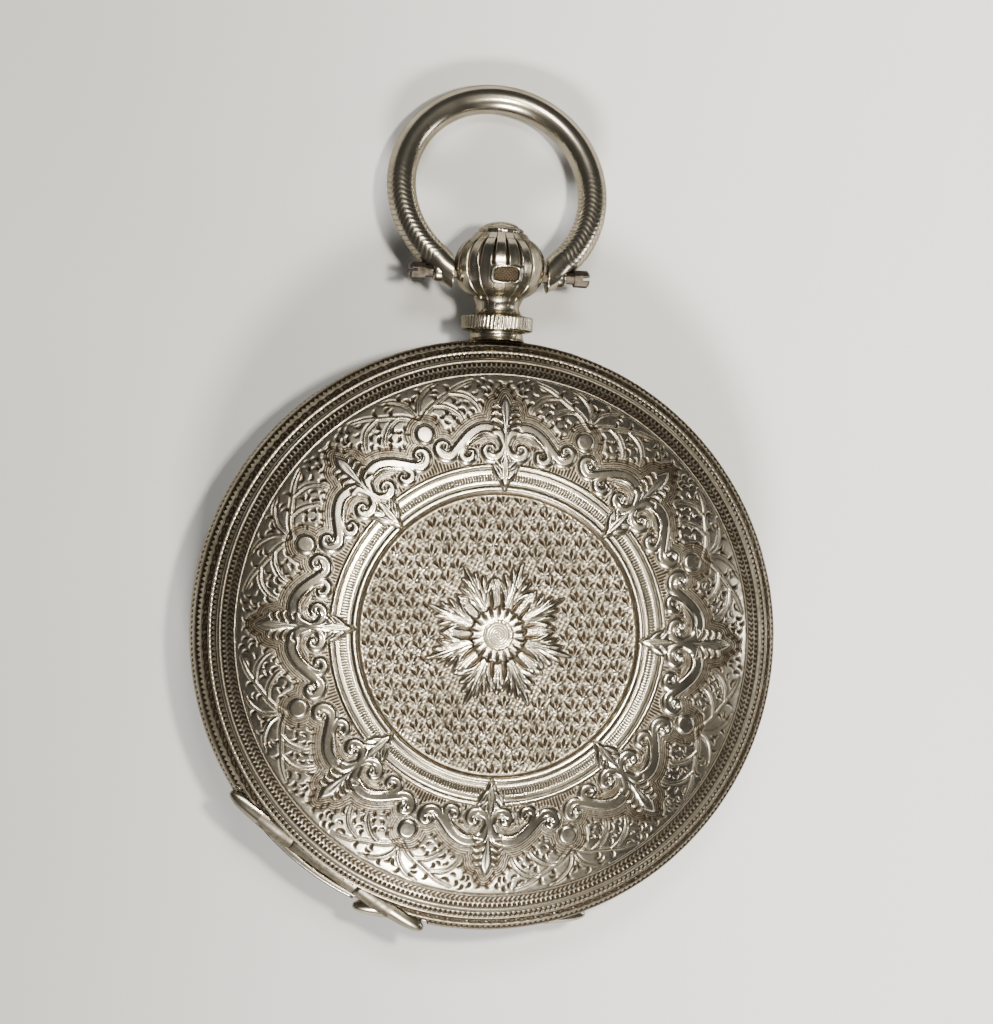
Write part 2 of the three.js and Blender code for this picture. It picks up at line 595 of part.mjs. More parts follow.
function barrel() {
  const radius = pitchRadius(BARREL_MODULE, TEETH.barrel);
  const phase = bearing(BARREL_AT, CENTRE_AT);
  const rim = toothed(TEETH.barrel, radius - 1.3 * BARREL_MODULE, radius + 0.5 * BARREL_MODULE,
    DRUM.z0, DRUM.teethTop, [0, 0], phase);
  const wall = ring(DRUM.inner, DRUM.inner + DRUM.wall, DRUM.z0, DRUM.z1, 30);
  const floorSpace = cylinder(DRUM.inner, DRUM.teethTop - 0.07, DRUM.z1 + 1, [0, 0], 30);
  const body = cut(union(rim, wall), floorSpace, cylinder(0.62, 5, 9, [0, 0], 14));
  return body.translate([BARREL_AT[0], BARREL_AT[1], 0]);
}

function barrelCover() {
  const disc = cylinder(DRUM.inner - 0.05, DRUM.z1 - 0.2, DRUM.z1, BARREL_AT, 30);
  return cut(disc, cylinder(0.62, 5, 9, BARREL_AT, 14));
}

function barrelArbor() {
  const shaft = arbor([[0.5, 5.1], [0.5, 6.32], [0.9, 6.32], [0.9, 7.16], [0.55, 7.16], [0.55, 9.55]], BARREL_AT, 14);
  const square = box([-0.42, -0.42, 9.4], [0.42, 0.42, 10.5]);
  return union(shaft, square.translate([BARREL_AT[0], BARREL_AT[1], 0]));
}

const RATCHET = { z0: 8.98, z1: 9.32, radius: 2.75 };

function ratchetWheel() {
  const points = [];
  for (let i = 0; i < TEETH.ratchet; i += 1) {
    const angle = (360 * i) / TEETH.ratchet;
    points.push(polar(RATCHET.radius, angle), polar(RATCHET.radius - 0.36, angle + 1.5));
  }
  const disc = slab(polygon(points), RATCHET.z0, RATCHET.z1).translate([BARREL_AT[0], BARREL_AT[1], 0]);
  return cut(disc, cylinder(0.58, 8, 10, BARREL_AT, 14));
}

const CLICK_AT = [5.1, 9.6];

function click() {
  const toward = bearing(CLICK_AT, BARREL_AT);
  const reach = Math.hypot(CLICK_AT[0] - BARREL_AT[0], CLICK_AT[1] - BARREL_AT[1]) - RATCHET.radius - 0.12;
  const beak = polygon([[0, -0.5], [reach, -0.22], [reach, 0.1], [0, 0.55]]);
  const body = union(slab(beak, RATCHET.z0, RATCHET.z1), cylinder(0.72, RATCHET.z0, RATCHET.z1, [0, 0], 14));
  const turnedBody = cut(body, cylinder(0.3, 8, 10, [0, 0], 10)).rotate([0, 0, toward]);
  return turnedBody.translate([CLICK_AT[0], CLICK_AT[1], 0]);
}

function clickSpring() {
  const foot = cylinder(0.5, RATCHET.z0, RATCHET.z1, [8.6, 9.0], 10);
  const blade = bar([8.6, 9.0], [5.3, 8.75], 0.09, RATCHET.z0, RATCHET.z1, 0.09, 2);
  return union(foot, blade);
}

function trainWheel(module, teeth, teethZ, pinionModule, pinionTeeth, pinionZ, at, phase, pinionPhase, shaft) {
  const disc = wheel(teeth, pitchRadius(module, teeth), module, teethZ[0], teethZ[1], at, phase);
  const pinionRadius = pitchRadius(pinionModule, pinionTeeth);
  const pinion = leaves(pinionTeeth, pinionRadius, pinionModule, pinionZ[0], pinionZ[1], at, pinionPhase);
  return union(disc, pinion, arbor(shaft, at, 10));
}

function centerWheel() {
  const shaft = [[0.32, 2.3], [0.32, 4.85], [0.6, 4.85], [0.6, 7.9], [0.42, 7.9], [0.42, 9.4]];
  const body = trainWheel(CENTRE_MODULE, TEETH.centre, [7.6, 7.85], BARREL_MODULE, TEETH.centrePinion, [5.98, 7.62],
    CENTRE_AT, bearing(CENTRE_AT, THIRD_AT), gapFacing(CENTRE_AT, BARREL_AT, TEETH.centrePinion), shaft);
  return union(body, box([-0.36, -0.36, 9.2], [0.36, 0.36, 10.5]));
}

function thirdWheel() {
  const shaft = [[PIVOT, 5.3], [PIVOT, 5.98], [0.28, 5.98], [0.28, 8.02], [PIVOT, 8.02], [PIVOT, 8.6]];
  return trainWheel(THIRD_MODULE, TEETH.third, [6.2, 6.42], CENTRE_MODULE, TEETH.thirdPinion, [7.45, 7.95],
    THIRD_AT, bearing(THIRD_AT, FOURTH_AT), gapFacing(THIRD_AT, CENTRE_AT, TEETH.thirdPinion), shaft);
}

function fourthWheel() {
  const shaft = [[0.2, 3.0], [0.2, 5.98], [0.26, 5.98], [0.26, 8.02], [PIVOT, 8.02], [PIVOT, 8.6]];
  return trainWheel(FOURTH_MODULE, TEETH.fourth, [6.92, 7.12], THIRD_MODULE, TEETH.fourthPinion, [6.02, 6.6],
    FOURTH_AT, bearing(FOURTH_AT, ESCAPE_AT), gapFacing(FOURTH_AT, THIRD_AT, TEETH.fourthPinion), shaft);
}

const CYLINDER_RADIUS = 0.5;
const ESCAPE_TIP = Math.hypot(BALANCE_AT[0] - ESCAPE_AT[0], BALANCE_AT[1] - ESCAPE_AT[1]) - CYLINDER_RADIUS - 0.06;

// The cylinder escape wheel carries its teeth on small posts above a flat crossed rim.
function escapeWheel() {
  const z0 = 6.1;
  const z1 = 6.28;
  let body = cut(ring(0.1, ESCAPE_TIP - 0.25, z0, z1, 30), ...crossings(3, 0.6, ESCAPE_TIP - 0.75, 0.35, z0, z1, [0, 0]));
  for (let i = 0; i < TEETH.escape; i += 1) {
    const angle = (360 * i) / TEETH.escape + 6;
    const tooth = polygon([polar(ESCAPE_TIP - 0.55, angle), polar(ESCAPE_TIP, angle + 12), polar(ESCAPE_TIP - 0.25, angle)]);
    body = body.add(slab(tooth, z1 - 0.08, z1 + 0.3));
  }
  body = body.translate([ESCAPE_AT[0], ESCAPE_AT[1], 0]);
  const pinion = leaves(TEETH.escapePinion, pitchRadius(FOURTH_MODULE, TEETH.escapePinion), FOURTH_MODULE, 6.75, 7.3,
    ESCAPE_AT, gapFacing(ESCAPE_AT, FOURTH_AT, TEETH.escapePinion));
  const shaft = [[PIVOT, 5.3], [PIVOT, 5.98], [0.22, 5.98], [0.22, 8.02], [PIVOT, 8.02], [PIVOT, 8.6]];
  return union(body, pinion, arbor(shaft, ESCAPE_AT, 10));
}

const BALANCE = { radius: 4.3, z0: 9.02, z1: 9.22 };

function balanceWheel() {
  const rim = ring(0.42, BALANCE.radius, BALANCE.z0, BALANCE.z1, 32);
  const windows = crossings(3, 0.85, BALANCE.radius - 0.5, 0.4, BALANCE.z0, BALANCE.z1, [0, 0], 30);
  return cut(rim, ...windows).translate([BALANCE_AT[0], BALANCE_AT[1], 0]);
}

// The balance staff is a hollow cylinder, cut half away where the escape teeth pass.
function balanceStaff() {
  const shaft = arbor([[PIVOT, 5.3], [PIVOT, 5.98], [CYLINDER_RADIUS, 5.98], [CYLINDER_RADIUS, 7.4], [0.38, 7.4],
    [0.38, 9.4], [PIVOT, 9.4], [PIVOT, 9.62]], [0, 0], 12);
  const notch = box([-0.1, -1, 6.2], [1, 1, 6.7]);
  const facing = bearing(BALANCE_AT, ESCAPE_AT);
  return cut(shaft, notch.rotate([0, 0, facing + 90])).translate([BALANCE_AT[0], BALANCE_AT[1], 0]);
}

const hairspring = () => spiral(0.75, 2.1, 4, 0.08, 9.28, 9.4, BALANCE_AT, 12);
const mainspring = () => spiral(1.4, 5.5, 4, 0.22, 6.35, 7.15, BARREL_AT, 14);

function regulator() {
  const z0 = BALANCE_COCK.z1 + SEAM;
  const pointer = polygon([[0, -0.3], [2.9, -0.1], [3.1, 0], [2.9, 0.1], [0, 0.3]]);
  const tail = polygon([[0, -0.25], [-1.9, -0.2], [-1.9, 0.2], [0, 0.25]]);
  const body = union(slab(pointer, z0, z0 + 0.2), slab(tail, z0, z0 + 0.2), ring(0.3, 0.95, z0, z0 + 0.2, 18));
  const bored = cut(body, cylinder(0.5, z0 - 1, z0 + 1, [0, 0], 14));
  return bored.rotate([0, 0, 20]).translate([BALANCE_AT[0], BALANCE_AT[1], 0]);
}

const BRIDGE_SCREW = { head: 0.85, height: 0.33, shank: 0.42 };

function bridgeScrew(foot, top, turn) {
  const length = top - PLATE.z0 - 0.1;
  return screw(foot, top + 0.02, BRIDGE_SCREW.head, BRIDGE_SCREW.height, BRIDGE_SCREW.shank, length, turn);
}

// ---- Assembly ----
const watch = new THREE.Group();

function add(name, body, material) {
  const made = body.getMesh();
  const geometry = new THREE.BufferGeometry();
  const position = new THREE.BufferAttribute(new Float32Array(made.vertProperties), 3);
  geometry.setAttribute("position", position);
  geometry.setIndex(Array.from(made.triVerts));
  const mesh = new THREE.Mesh(geometry, material);
  mesh.name = name;
  watch.add(mesh);
}

add("front_lid", frontLid(), SILVER());
add("case_middle", caseMiddle(), SILVER());
add("back_cover", backCover(), SILVER());
add("front_hinge_pin", hingePin(COVER_HINGE), DARK_STEEL());
add("back_hinge_pin", onBack(hingePin(COVER_HINGE)), DARK_STEEL());
add("pendant", pendant(), SILVER());
add("bow", bow(), SILVER());
add("bow_screw_left", bowScrew(-1), DARK_STEEL());
add("bow_screw_right", bowScrew(1), DARK_STEEL());
add("push_piece", pushPiece(), SILVER());
add("lock_spring", lockSpring(), STEEL());
add("lift_spring", liftSpring(), STEEL());
add("lock_spring_screw", springScrew(LOCK_SCREW_AT), BLUED());
add("lift_spring_screw", springScrew(LIFT_SCREW_AT), BLUED());
add("bezel", bezel(), SILVER());
add("crystal", crystal(), GLASS());
add("bezel_hinge_pin", hingePin(GLASS_HINGE), DARK_STEEL());
add("cuvette", cuvette(), SILVER());
add("cuvette_hinge_pin", onBack(hingePin(GLASS_HINGE)), DARK_STEEL());
add("dial", dial(), ENAMEL());
add("hour_hand", hand(CENTRE_AT, 145, 8.4, 1.2, 1.25, 0.98, 2.72, 2.86), BLUED());
add("minute_hand", hand(CENTRE_AT, 30, 13, 2, 1.05, 0.63, 2.4, 2.52), BLUED());
add("seconds_hand", hand(FOURTH_AT, 210, 3.1, 0.9, 0.5, 0.23, 3.0, 3.12), BLUED());
add("cannon_pinion", cannonPinion(), STEEL());
add("hour_wheel", hourWheel(), BRASS());
add("minute_wheel", minuteWheel(), BRASS());
add("main_plate", mainPlate(), GILT());
const clickScrewHole = cylinder(0.3, BAR.z0 - 1, BAR.z1 + 1, CLICK_AT, 8);
for (const [name, size] of Object.entries(BRIDGES)) {
  const body = standing(...size);
  add(name, name === "barrel_bridge" ? cut(body, clickScrewHole) : body, GILT());
}
add("barrel", barrel(), BRASS());
add("barrel_cover", barrelCover(), BRASS());
add("mainspring", mainspring(), STEEL());
add("barrel_arbor", barrelArbor(), STEEL());
add("ratchet_wheel", ratchetWheel(), STEEL());
add("click", click(), STEEL());
add("click_spring", clickSpring(), STEEL());
add("click_screw", screw(CLICK_AT, RATCHET.z1 + 0.03, 0.6, 0.3, 0.24, 1.1, 40), BLUED());
add("center_wheel", centerWheel(), BRASS());
add("third_wheel", thirdWheel(), BRASS());
add("fourth_wheel", fourthWheel(), BRASS());
add("escape_wheel", escapeWheel(), STEEL());
add("balance_staff", balanceStaff(), STEEL());
add("balance_wheel", balanceWheel(), BRASS());
add("hairspring", hairspring(), BLUED());
add("regulator", regulator(), STEEL());
for (const [side, at] of [["right", CASE_SCREWS[0]], ["left", CASE_SCREWS[1]]]) {
  add(`case_screw_${side}`, screw(at, LEDGE.z1 + SEAM, 1.15, 0.35, 0.42, 1.45, 15), BLUED());
}
const SCREWED = {
  barrelLeft: ["barrel_bridge_screw_left", BAR.z1, 10], barrelRight: ["barrel_bridge_screw_right", BAR.z1, 70],
  centre: ["center_bar_screw", BAR.z1, 35], third: ["third_cock_screw", BAR.z1, -20],
  fourth: ["fourth_cock_screw", BAR.z1, 50], escape: ["escape_cock_screw", BAR.z1, -60],
  balance: ["balance_cock_screw", BALANCE_COCK.z1, 80],
};
for (const [foot, [name, top, turn]] of Object.entries(SCREWED)) add(name, bridgeScrew(FEET[foot], top, turn), BLUED());

export default watch;
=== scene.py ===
import json
import math

import bpy
import numpy as np
from mathutils import Matrix, Vector


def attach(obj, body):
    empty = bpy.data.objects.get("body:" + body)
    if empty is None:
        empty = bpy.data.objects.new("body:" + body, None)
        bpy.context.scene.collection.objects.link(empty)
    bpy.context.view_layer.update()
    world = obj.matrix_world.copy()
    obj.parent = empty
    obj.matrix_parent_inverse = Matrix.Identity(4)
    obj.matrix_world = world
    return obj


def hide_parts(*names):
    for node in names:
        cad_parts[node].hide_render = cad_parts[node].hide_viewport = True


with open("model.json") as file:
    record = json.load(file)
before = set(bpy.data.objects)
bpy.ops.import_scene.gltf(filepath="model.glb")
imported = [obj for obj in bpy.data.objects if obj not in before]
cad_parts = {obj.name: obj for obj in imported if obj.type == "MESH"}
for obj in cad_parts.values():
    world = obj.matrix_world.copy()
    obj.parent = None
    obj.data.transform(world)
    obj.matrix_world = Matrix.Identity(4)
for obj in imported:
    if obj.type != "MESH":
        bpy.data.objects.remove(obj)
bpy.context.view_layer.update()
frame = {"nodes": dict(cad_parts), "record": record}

# A key-wound hunter pocket watch with engraved silver covers, lying on its front lid.
# Lengths here are millimetres in the CAD frame; MM turns them into metres.
MM = 0.001

# ---- Driving dimensions, the same as in the CAD ----
CASE_RADIUS = 22.0
MID_PLANE = 6.2
MEDALLION = 10.6  # radius of each cover's flat centre
RIM_HEIGHT = 1.0  # a cover's edge, above the mid plane
COVER_WALL = 0.5
BACK_TURN = -33.0  # degrees from the front hinge to the back hinge
HINGE = {"radius": 20.66, "height": 1.0, "tube": 0.9, "half": 8.7, "middle": 2.9, "chord": 0.25}
BALL = {"radius": 3.45, "y0": 25.0, "y1": 30.1}
BOW = {"pivot": 27.0, "centre": 6.94, "half_width": 7.33, "half_length": 7.62, "wire": 1.1, "droop": 20.5}
DIAL = {"radius": 16.9, "face": 3.3, "numerals": 12.9, "minutes": 15.5, "seconds": (0.0, -7.5)}
BAND = {"radius": 22.03, "half": 0.94}
LABEL = {"y": 26.85, "half_width": 1.1, "half_height": 0.62}  # the pendant's blank plate
SMALL_HINGE = {"radius": 18.6, "z": 4.4, "half": 4.6, "middle": 1.5}  # of the bezel and the cuvette
KEY_HOLES = {"hand_key_hole": 0.0, "winding_key_hole": 7.92}  # their places along Y

FRAME_EDGE = 15.0  # radius where the scroll frame gives way to the foliage
RIM_EDGE = 19.4  # radius where the foliage gives way to the milled rim
TEETH = 340  # teeth round each milled row
HATCHES = 352  # fine cuts round the scroll frame's ground
GROUND_PITCH = (1.30, 1.0)  # sprigs across and along, with every second row moved half a pitch


# ---- Materials ----
def new_material(name):
    made = bpy.data.materials.new(name)
    made.use_nodes = True
    tree = made.node_tree
    return made, tree, tree.nodes["Principled BSDF"]


def add_node(tree, kind, inputs=(), **settings):
    node = tree.nodes.new(kind)
    for key, value in settings.items():
        setattr(node, key, value)
    for key, value in dict(inputs).items():
        if isinstance(value, bpy.types.NodeSocket):
            tree.links.new(value, node.inputs[key])
        else:
            node.inputs[key].default_value = value
    return node


def noise(tree, scale, detail=4.0, stretch=(1, 1, 1), rough=0.55):
    """A noise texture in the object's own space, scale in features per metre."""
    place = add_node(tree, "ShaderNodeTexCoord")
    mapping = add_node(tree, "ShaderNodeMapping", {"Vector": place.outputs["Object"], "Scale": stretch})
    inputs = {"Vector": mapping.outputs["Vector"], "Scale": scale, "Detail": detail, "Roughness": rough}
    return add_node(tree, "ShaderNodeTexNoise", inputs).outputs["Fac"]


def ramp(tree, factor, stops):
    node = add_node(tree, "ShaderNodeValToRGB", {"Fac": factor})
    marks = node.color_ramp.elements
    while len(marks) < len(stops):
        marks.new(0.5)
    for mark, (position, colour) in zip(marks, stops):
        mark.position = position
        mark.color = (*colour, 1)
    return node.outputs["Color"]


def mix_colour(tree, factor, a, b):
    return add_node(tree, "ShaderNodeMix", {0: factor, 6: a, 7: b}, data_type="RGBA").outputs[2]


def spread(tree, value, low, high):
    inputs = {"Value": value, "From Min": 0.3, "From Max": 0.7, "To Min": low, "To Max": high}
    return add_node(tree, "ShaderNodeMapRange", inputs).outputs["Result"]


def bump(tree, height, strength, distance):
    inputs = {"Height": height, "Strength": strength, "Distance": distance}
    return add_node(tree, "ShaderNodeBump", inputs).outputs[0]


EDGE_TINT = (0.56, 0.53, 0.48, 1)  # old silver stays grey where it is seen at a grazing angle
TARNISH = (0.035, 0.026, 0.017, 1)


def connect(tree, shader, sockets):
    for name, socket in sockets.items():
        tree.links.new(socket, shader.inputs[name])


def silver(name, light, mid, roughness, stain):
    """Worn silver: bright on the high places, brown-black in the cuts, with a mottled film between."""
    made, tree, shader = new_material(name)
    film = noise(tree, 260, 5)
    body = ramp(tree, film, [(0.32, mid), (0.62, light)])
    depth = add_node(tree, "ShaderNodeAttribute", attribute_name="cut").outputs["Fac"]
    grain = noise(tree, 2600, 3)
    inputs = {0: depth, 1: spread(tree, grain, -0.12, 0.12)}
    dirt = add_node(tree, "ShaderNodeMath", inputs, operation="ADD", use_clamp=True).outputs[0]
    dirt = ramp(tree, dirt, [(stain[0], (0, 0, 0)), (stain[1], (1, 1, 1))])
    shader.inputs["Metallic"].default_value = 1.0
    shader.inputs["Specular Tint"].default_value = EDGE_TINT
    worn = spread(tree, film, roughness[1], roughness[0])
    inputs = {0: dirt, 1: 0.28, 2: worn}
    rough = add_node(tree, "ShaderNodeMath", inputs, operation="MULTIPLY_ADD").outputs[0]
    scratches = bump(tree, noise(tree, 5200, 4, (1, 0.12, 1)), 0.10, 0.00002)
    colour = mix_colour(tree, dirt, body, TARNISH)
    connect(tree, shader, {"Base Color": colour, "Roughness": rough, "Normal": scratches})
    return made


def cloudy(name, dark, light, roughness, grain, detail=3, stretch=(1, 1, 1), top=0.7):
    """A finish with a faint cloud in its colour and in its polish."""
    made, tree, shader = new_material(name)
    cloud = noise(tree, grain, detail, stretch)
    connect(tree, shader, {"Base Color": ramp(tree, cloud, [(0.3, dark), (top, light)]),
                           "Roughness": spread(tree, cloud, roughness[1], roughness[0])})
    return made, tree, shader


def metal(name, light, dark, roughness, grain, stretch=(1, 1, 1), depth=0.00002, strength=0.25):
    """A plain metal with a fine surface grain."""
    made, tree, shader = cloudy(name, dark, light, roughness, grain, 5, stretch, 0.68)
    shader.inputs["Metallic"].default_value = 1.0
    connect(tree, shader, {"Normal": bump(tree, noise(tree, grain * 8, 3, stretch), strength, depth)})
    return made


def enamel():
    made, tree, shader = cloudy("fired_enamel", (0.80, 0.79, 0.74), (0.86, 0.85, 0.81), (0.10, 0.16), 120)
    connect(tree, shader, {"Normal": bump(tree, noise(tree, 900, 2), 0.06, 0.00002)})
    return made


def glass():
    made, _, shader = cloudy("watch_glass", (0.96, 0.98, 0.97), (1, 1, 1), (0.0, 0.02), 300)
    shader.inputs["Transmission Weight"].default_value = 1.0
    shader.inputs["IOR"].default_value = 1.12
    return made


ENGRAVED = silver("engraved_silver", (0.45, 0.405, 0.32), (0.235, 0.213, 0.163), (0.16, 0.30), (0.06, 0.62))
POLISHED = silver("polished_silver", (0.45, 0.405, 0.325), (0.235, 0.213, 0.165), (0.13, 0.26), (0.2, 0.75))
LINING = silver("inner_silver", (0.86, 0.84, 0.79), (0.70, 0.68, 0.62), (0.16, 0.28), (0.3, 0.9))
DULL_STEEL = metal("dull_steel", (0.09, 0.075, 0.06), (0.03, 0.025, 0.02), (0.42, 0.6), 1200)
STEEL = metal("polished_steel", (0.60, 0.61, 0.62), (0.42, 0.43, 0.45), (0.18, 0.32), 1500, (1, 0.2, 1))
BLUED = metal("blued_steel", (0.045, 0.07, 0.30), (0.02, 0.03, 0.14), (0.16, 0.3), 1800)
GILT = metal("frosted_gilt", (0.86, 0.63, 0.27), (0.66, 0.45, 0.17), (0.34, 0.46), 2400,
             depth=0.00004, strength=0.5)
BRASS = metal("polished_brass", (0.80, 0.60, 0.27), (0.60, 0.42, 0.16), (0.2, 0.34), 1500, (1, 0.25, 1))
ENAMEL = enamel()
DIAL_BLACK = cloudy("dial_black", (0.010, 0.010, 0.012), (0.028, 0.027, 0.03), (0.2, 0.35), 1500)[0]
GLASS = glass()


# ---- Mesh helpers ----
def add_object(name, data):
    made = bpy.data.objects.new(name, data)
    bpy.context.scene.collection.objects.link(made)
    return made


def new_piece(name, mesh, material, body, cut=None):
    """Links a mesh as a named piece that rides on a CAD body. cut is a tarnish depth for each vertex."""
    if cut is not None:
        layer = mesh.attributes.new("cut", "FLOAT", "POINT")
        layer.data.foreach_set("value", np.asarray(cut, np.float32).ravel())
    mesh.materials.append(material)
    piece = add_object(name, mesh)
    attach(piece, body)
    return piece


def grid_mesh(name, points, wrap=True, wrap_rows=False):
    """A smooth quad mesh over a rows x columns grid of points in millimetres."""
    rows, columns = points.shape[:2]
    index = np.arange(rows * columns).reshape(rows, columns)
    if wrap:
        index = np.concatenate([index, index[:, :1]], axis=1)
    if wrap_rows:
        index = np.concatenate([index, index[:1]], axis=0)
    quads = np.stack([index[:-1, :-1], index[:-1, 1:], index[1:, 1:], index[1:, :-1]], axis=-1).reshape(-1, 4)
    return mesh_from(name, points.reshape(-1, 3), quads)


def grid_piece(name, points, material, body, cut=None, wrap=True, wrap_rows=False):
    """A piece whose surface is one grid of points."""
    return new_piece(name, grid_mesh(name, points, wrap, wrap_rows), material, body, cut)


def mesh_from(name, points, quads, smooth=True):
    mesh = bpy.data.meshes.new(name)
    mesh.vertices.add(len(points))
    mesh.vertices.foreach_set("co", (np.asarray(points, np.float32) * MM).ravel())
    mesh.loops.add(quads.size)
    mesh.loops.foreach_set("vertex_index", quads.ravel().astype(np.int32))
    mesh.polygons.add(len(quads))
    mesh.polygons.foreach_set("loop_start", np.arange(0, quads.size, quads.shape[1], dtype=np.int32))
    mesh.polygons.foreach_set("use_smooth", np.full(len(quads), smooth))
    mesh.update(calc_edges=True)
    mesh.validate()
    return mesh


def columns(*values):
    """Joins separate coordinates into points."""
    return np.stack(values, axis=-1)


def parts_of(points):
    return points[..., 0], points[..., 1], points[..., 2]


def full_turn(count):
    return np.linspace(0, math.tau, count, endpoint=False)


def cos_sin(degrees):
    return math.cos(math.radians(degrees)), math.sin(math.radians(degrees))


def turned(x, y, degrees):
    """Anticlockwise about the origin."""
    c, s = cos_sin(degrees)
    return x * c - y * s, x * s + y * c


def step(value, low, high):
    """A smooth step from 0 at low to 1 at high."""
    t = np.clip((value - low) / (high - low), 0, 1)
    return t * t * (3 - 2 * t)


def tent(distance, reach):
    """1 at distance zero, falling evenly to 0 at the reach."""
    return np.clip(1 - np.abs(distance) / reach, 0, 1)


def half_round(distance, reach):
    """The height of a bead's round back, 1 at distance zero."""
    return np.sqrt(np.clip(1 - (distance / reach) ** 2, 0, 1))


def wave(angle):
    return 0.5 + 0.5 * np.cos(angle)


def deepen(layer, depth):
    np.maximum(layer, depth, out=layer)


def resample(points, spacing):
    """A polyline's points at an even spacing, first and last kept."""
    points = np.asarray(points, float)
    length = np.concatenate([[0], np.cumsum(np.linalg.norm(np.diff(points[:, :2], axis=0), axis=1))])
    count = max(int(round(length[-1] / spacing)), 2)
    at = np.linspace(0, length[-1], count + 1)
    return columns(*[np.interp(at, length, points[:, k]) for k in range(points.shape[1])])


def smooth_curve(points, per_span=6):
    """A Catmull-Rom curve through rows of numbers."""
    p = np.asarray(points, float)
    p = np.concatenate([[2 * p[0] - p[1]], p, [2 * p[-1] - p[-2]]])
    t = np.linspace(0, 1, per_span, endpoint=False)[:, None]
    found = []
    for a, b, c, d in zip(p, p[1:], p[2:], p[3:]):
        square = (2 * a - 5 * b + 4 * c - d) * t * t
        cube = (-a + 3 * b - 3 * c + d) * t ** 3
        found.append(0.5 * (2 * b + (c - a) * t + square + cube))
    return np.concatenate([*found, p[-2:-1]])


# ---- The engraved map of a cover ----
MAP_HALF = 20.0
MAP_CELL = 0.04
MAP_LINE = np.arange(-MAP_HALF, MAP_HALF + MAP_CELL / 2, MAP_CELL)


def blank(value=0.0):
    return np.full((len(MAP_LINE), len(MAP_LINE)), value, np.float32)


def painted(strokes, slope=1.0, start=0.0):
    layer = blank(start)
    paint(layer, strokes, slope)
    return layer


def cells(a, b, reach):
    """The map's cells between two places, with the reach added at both ends."""
    low = int((min(a, b) - reach + MAP_HALF) / MAP_CELL)
    high = int((max(a, b) + reach + MAP_HALF) / MAP_CELL) + 2
    return max(low, 0), min(high, len(MAP_LINE) - 1)


def paint(layer, strokes, slope=1.0):
    """Raises the layer to slope x (half width - distance) round each stroke, a list of (x, y, half width)."""
    for stroke in strokes:
        for (x0, y0, w0), (x1, y1, w1) in zip(stroke[:-1], stroke[1:]):
            reach = max(w0, w1) + (0.8 if slope == 1.0 else 0.0)
            i0, i1 = cells(x0, x1, reach)
            j0, j1 = cells(y0, y1, reach)
            if i1 <= i0 or j1 <= j0:
                continue
            gx = MAP_LINE[i0:i1][None, :] - x0
            gy = MAP_LINE[j0:j1][:, None] - y0
            dx, dy = x1 - x0, y1 - y0
            t = np.clip((gx * dx + gy * dy) / (dx * dx + dy * dy + 1e-12), 0, 1)
            deepen(layer[j0:j1, i0:i1], slope * (w0 + (w1 - w0) * t - np.hypot(gx - t * dx, gy - t * dy)))


def look_up(layer, x, y):
    """The layer's value at points, between its cells."""
    u = np.clip((x + MAP_HALF) / MAP_CELL, 0, len(MAP_LINE) - 2.001)
    v = np.clip((y + MAP_HALF) / MAP_CELL, 0, len(MAP_LINE) - 2.001)
    i, j = u.astype(int), v.astype(int)
    fu, fv = u - i, v - j
    low = layer[j, i] * (1 - fu) + layer[j, i + 1] * fu
    high = layer[j + 1, i] * (1 - fu) + layer[j + 1, i + 1] * fu
    return low * (1 - fv) + high * fv


def rotated(strokes, degrees):
    """Strokes turned clockwise, seen from outside the cover."""
    return [columns(*turned(k[:, 0], k[:, 1], -degrees), k[:, 2]) for k in strokes]


def repeated(strokes, angles):
    return [k for angle in angles for k in rotated(strokes, angle)]


def both_sides(strokes):
    return strokes + [k * np.array([-1, 1, 1]) for k in strokes]


def curve(*points):
    return smooth_curve(points, 5)


def eightfold(strokes):
    return repeated(strokes, range(0, 360, 45))


def crescent(x, y, heading, size, width, bend):
    """A comma cut: bent, with a full belly and a thin tail."""
    found = []
    for t in np.linspace(0, 1, 8):
        angle = heading + bend * t
        belly = math.sin(math.pi * min(t + 0.08, 1)) ** 0.8 * (1.1 - 0.5 * t)
        along = size * t
        found.append((x + along * math.sin(angle), y + along * math.cos(angle), max(width * belly, 0.01)))
    return np.array(found)


# The rosette's eight leaves, at the angles listed here.
LEAF_ANGLES = [17, 59, 104, 154, 204, 250, 291, 331]


def rosette_leaves():
    blades = []
    rows = [(2.1, 4.85, 0.46, 0.14), (2.05, 4.35, 0.86, 0.17), (2.0, 3.85, 1.22, 0.18)]
    for start, end, reach, wide in rows:
        blades.append(curve((0.16, start, 0.15), (reach * 0.42, (start + end) / 2, wide),
                            (reach * 0.85, end - 0.35, wide), (reach * 1.12, end, 0.05)))
    spine = curve((0, 1.9, 0.26), (0.03, 3.0, 0.28), (0.0, 4.1, 0.24), (-0.02, 4.9, 0.15), (0.0, 5.6, 0.02))
    return repeated(both_sides(blades) + [spine], LEAF_ANGLES)


def rosette_fillers():
    found = []
    for here, after in zip(LEAF_ANGLES, LEAF_ANGLES[1:] + [LEAF_ANGLES[0] + 360]):
        for share, reach in ((0.42, 3.9), (0.5, 4.3), (0.58, 3.9)):
            petal = [curve((0, 2.0, 0.10), (0, 3.0, 0.15), (0, reach - 0.35, 0.17), (0, reach, 0.04))]
            found += rotated(petal, here + (after - here) * share)
    return found


def rosette_veins():
    veins = [curve((0.07, 2.1, 0.05), (0.1, 3.2, 0.05), (0.05, 4.4, 0.02)),
             curve((0.3, 2.5, 0.07), (0.42, 3.4, 0.09), (0.34, 4.3, 0.02))]
    return repeated(both_sides(veins), LEAF_ANGLES)


def eye_wedges():
    return repeated([np.array([(0, 1.95, 0.19), (0, 1.55, 0.13), (0, 1.2, 0.01)])], range(0, 360, 20))


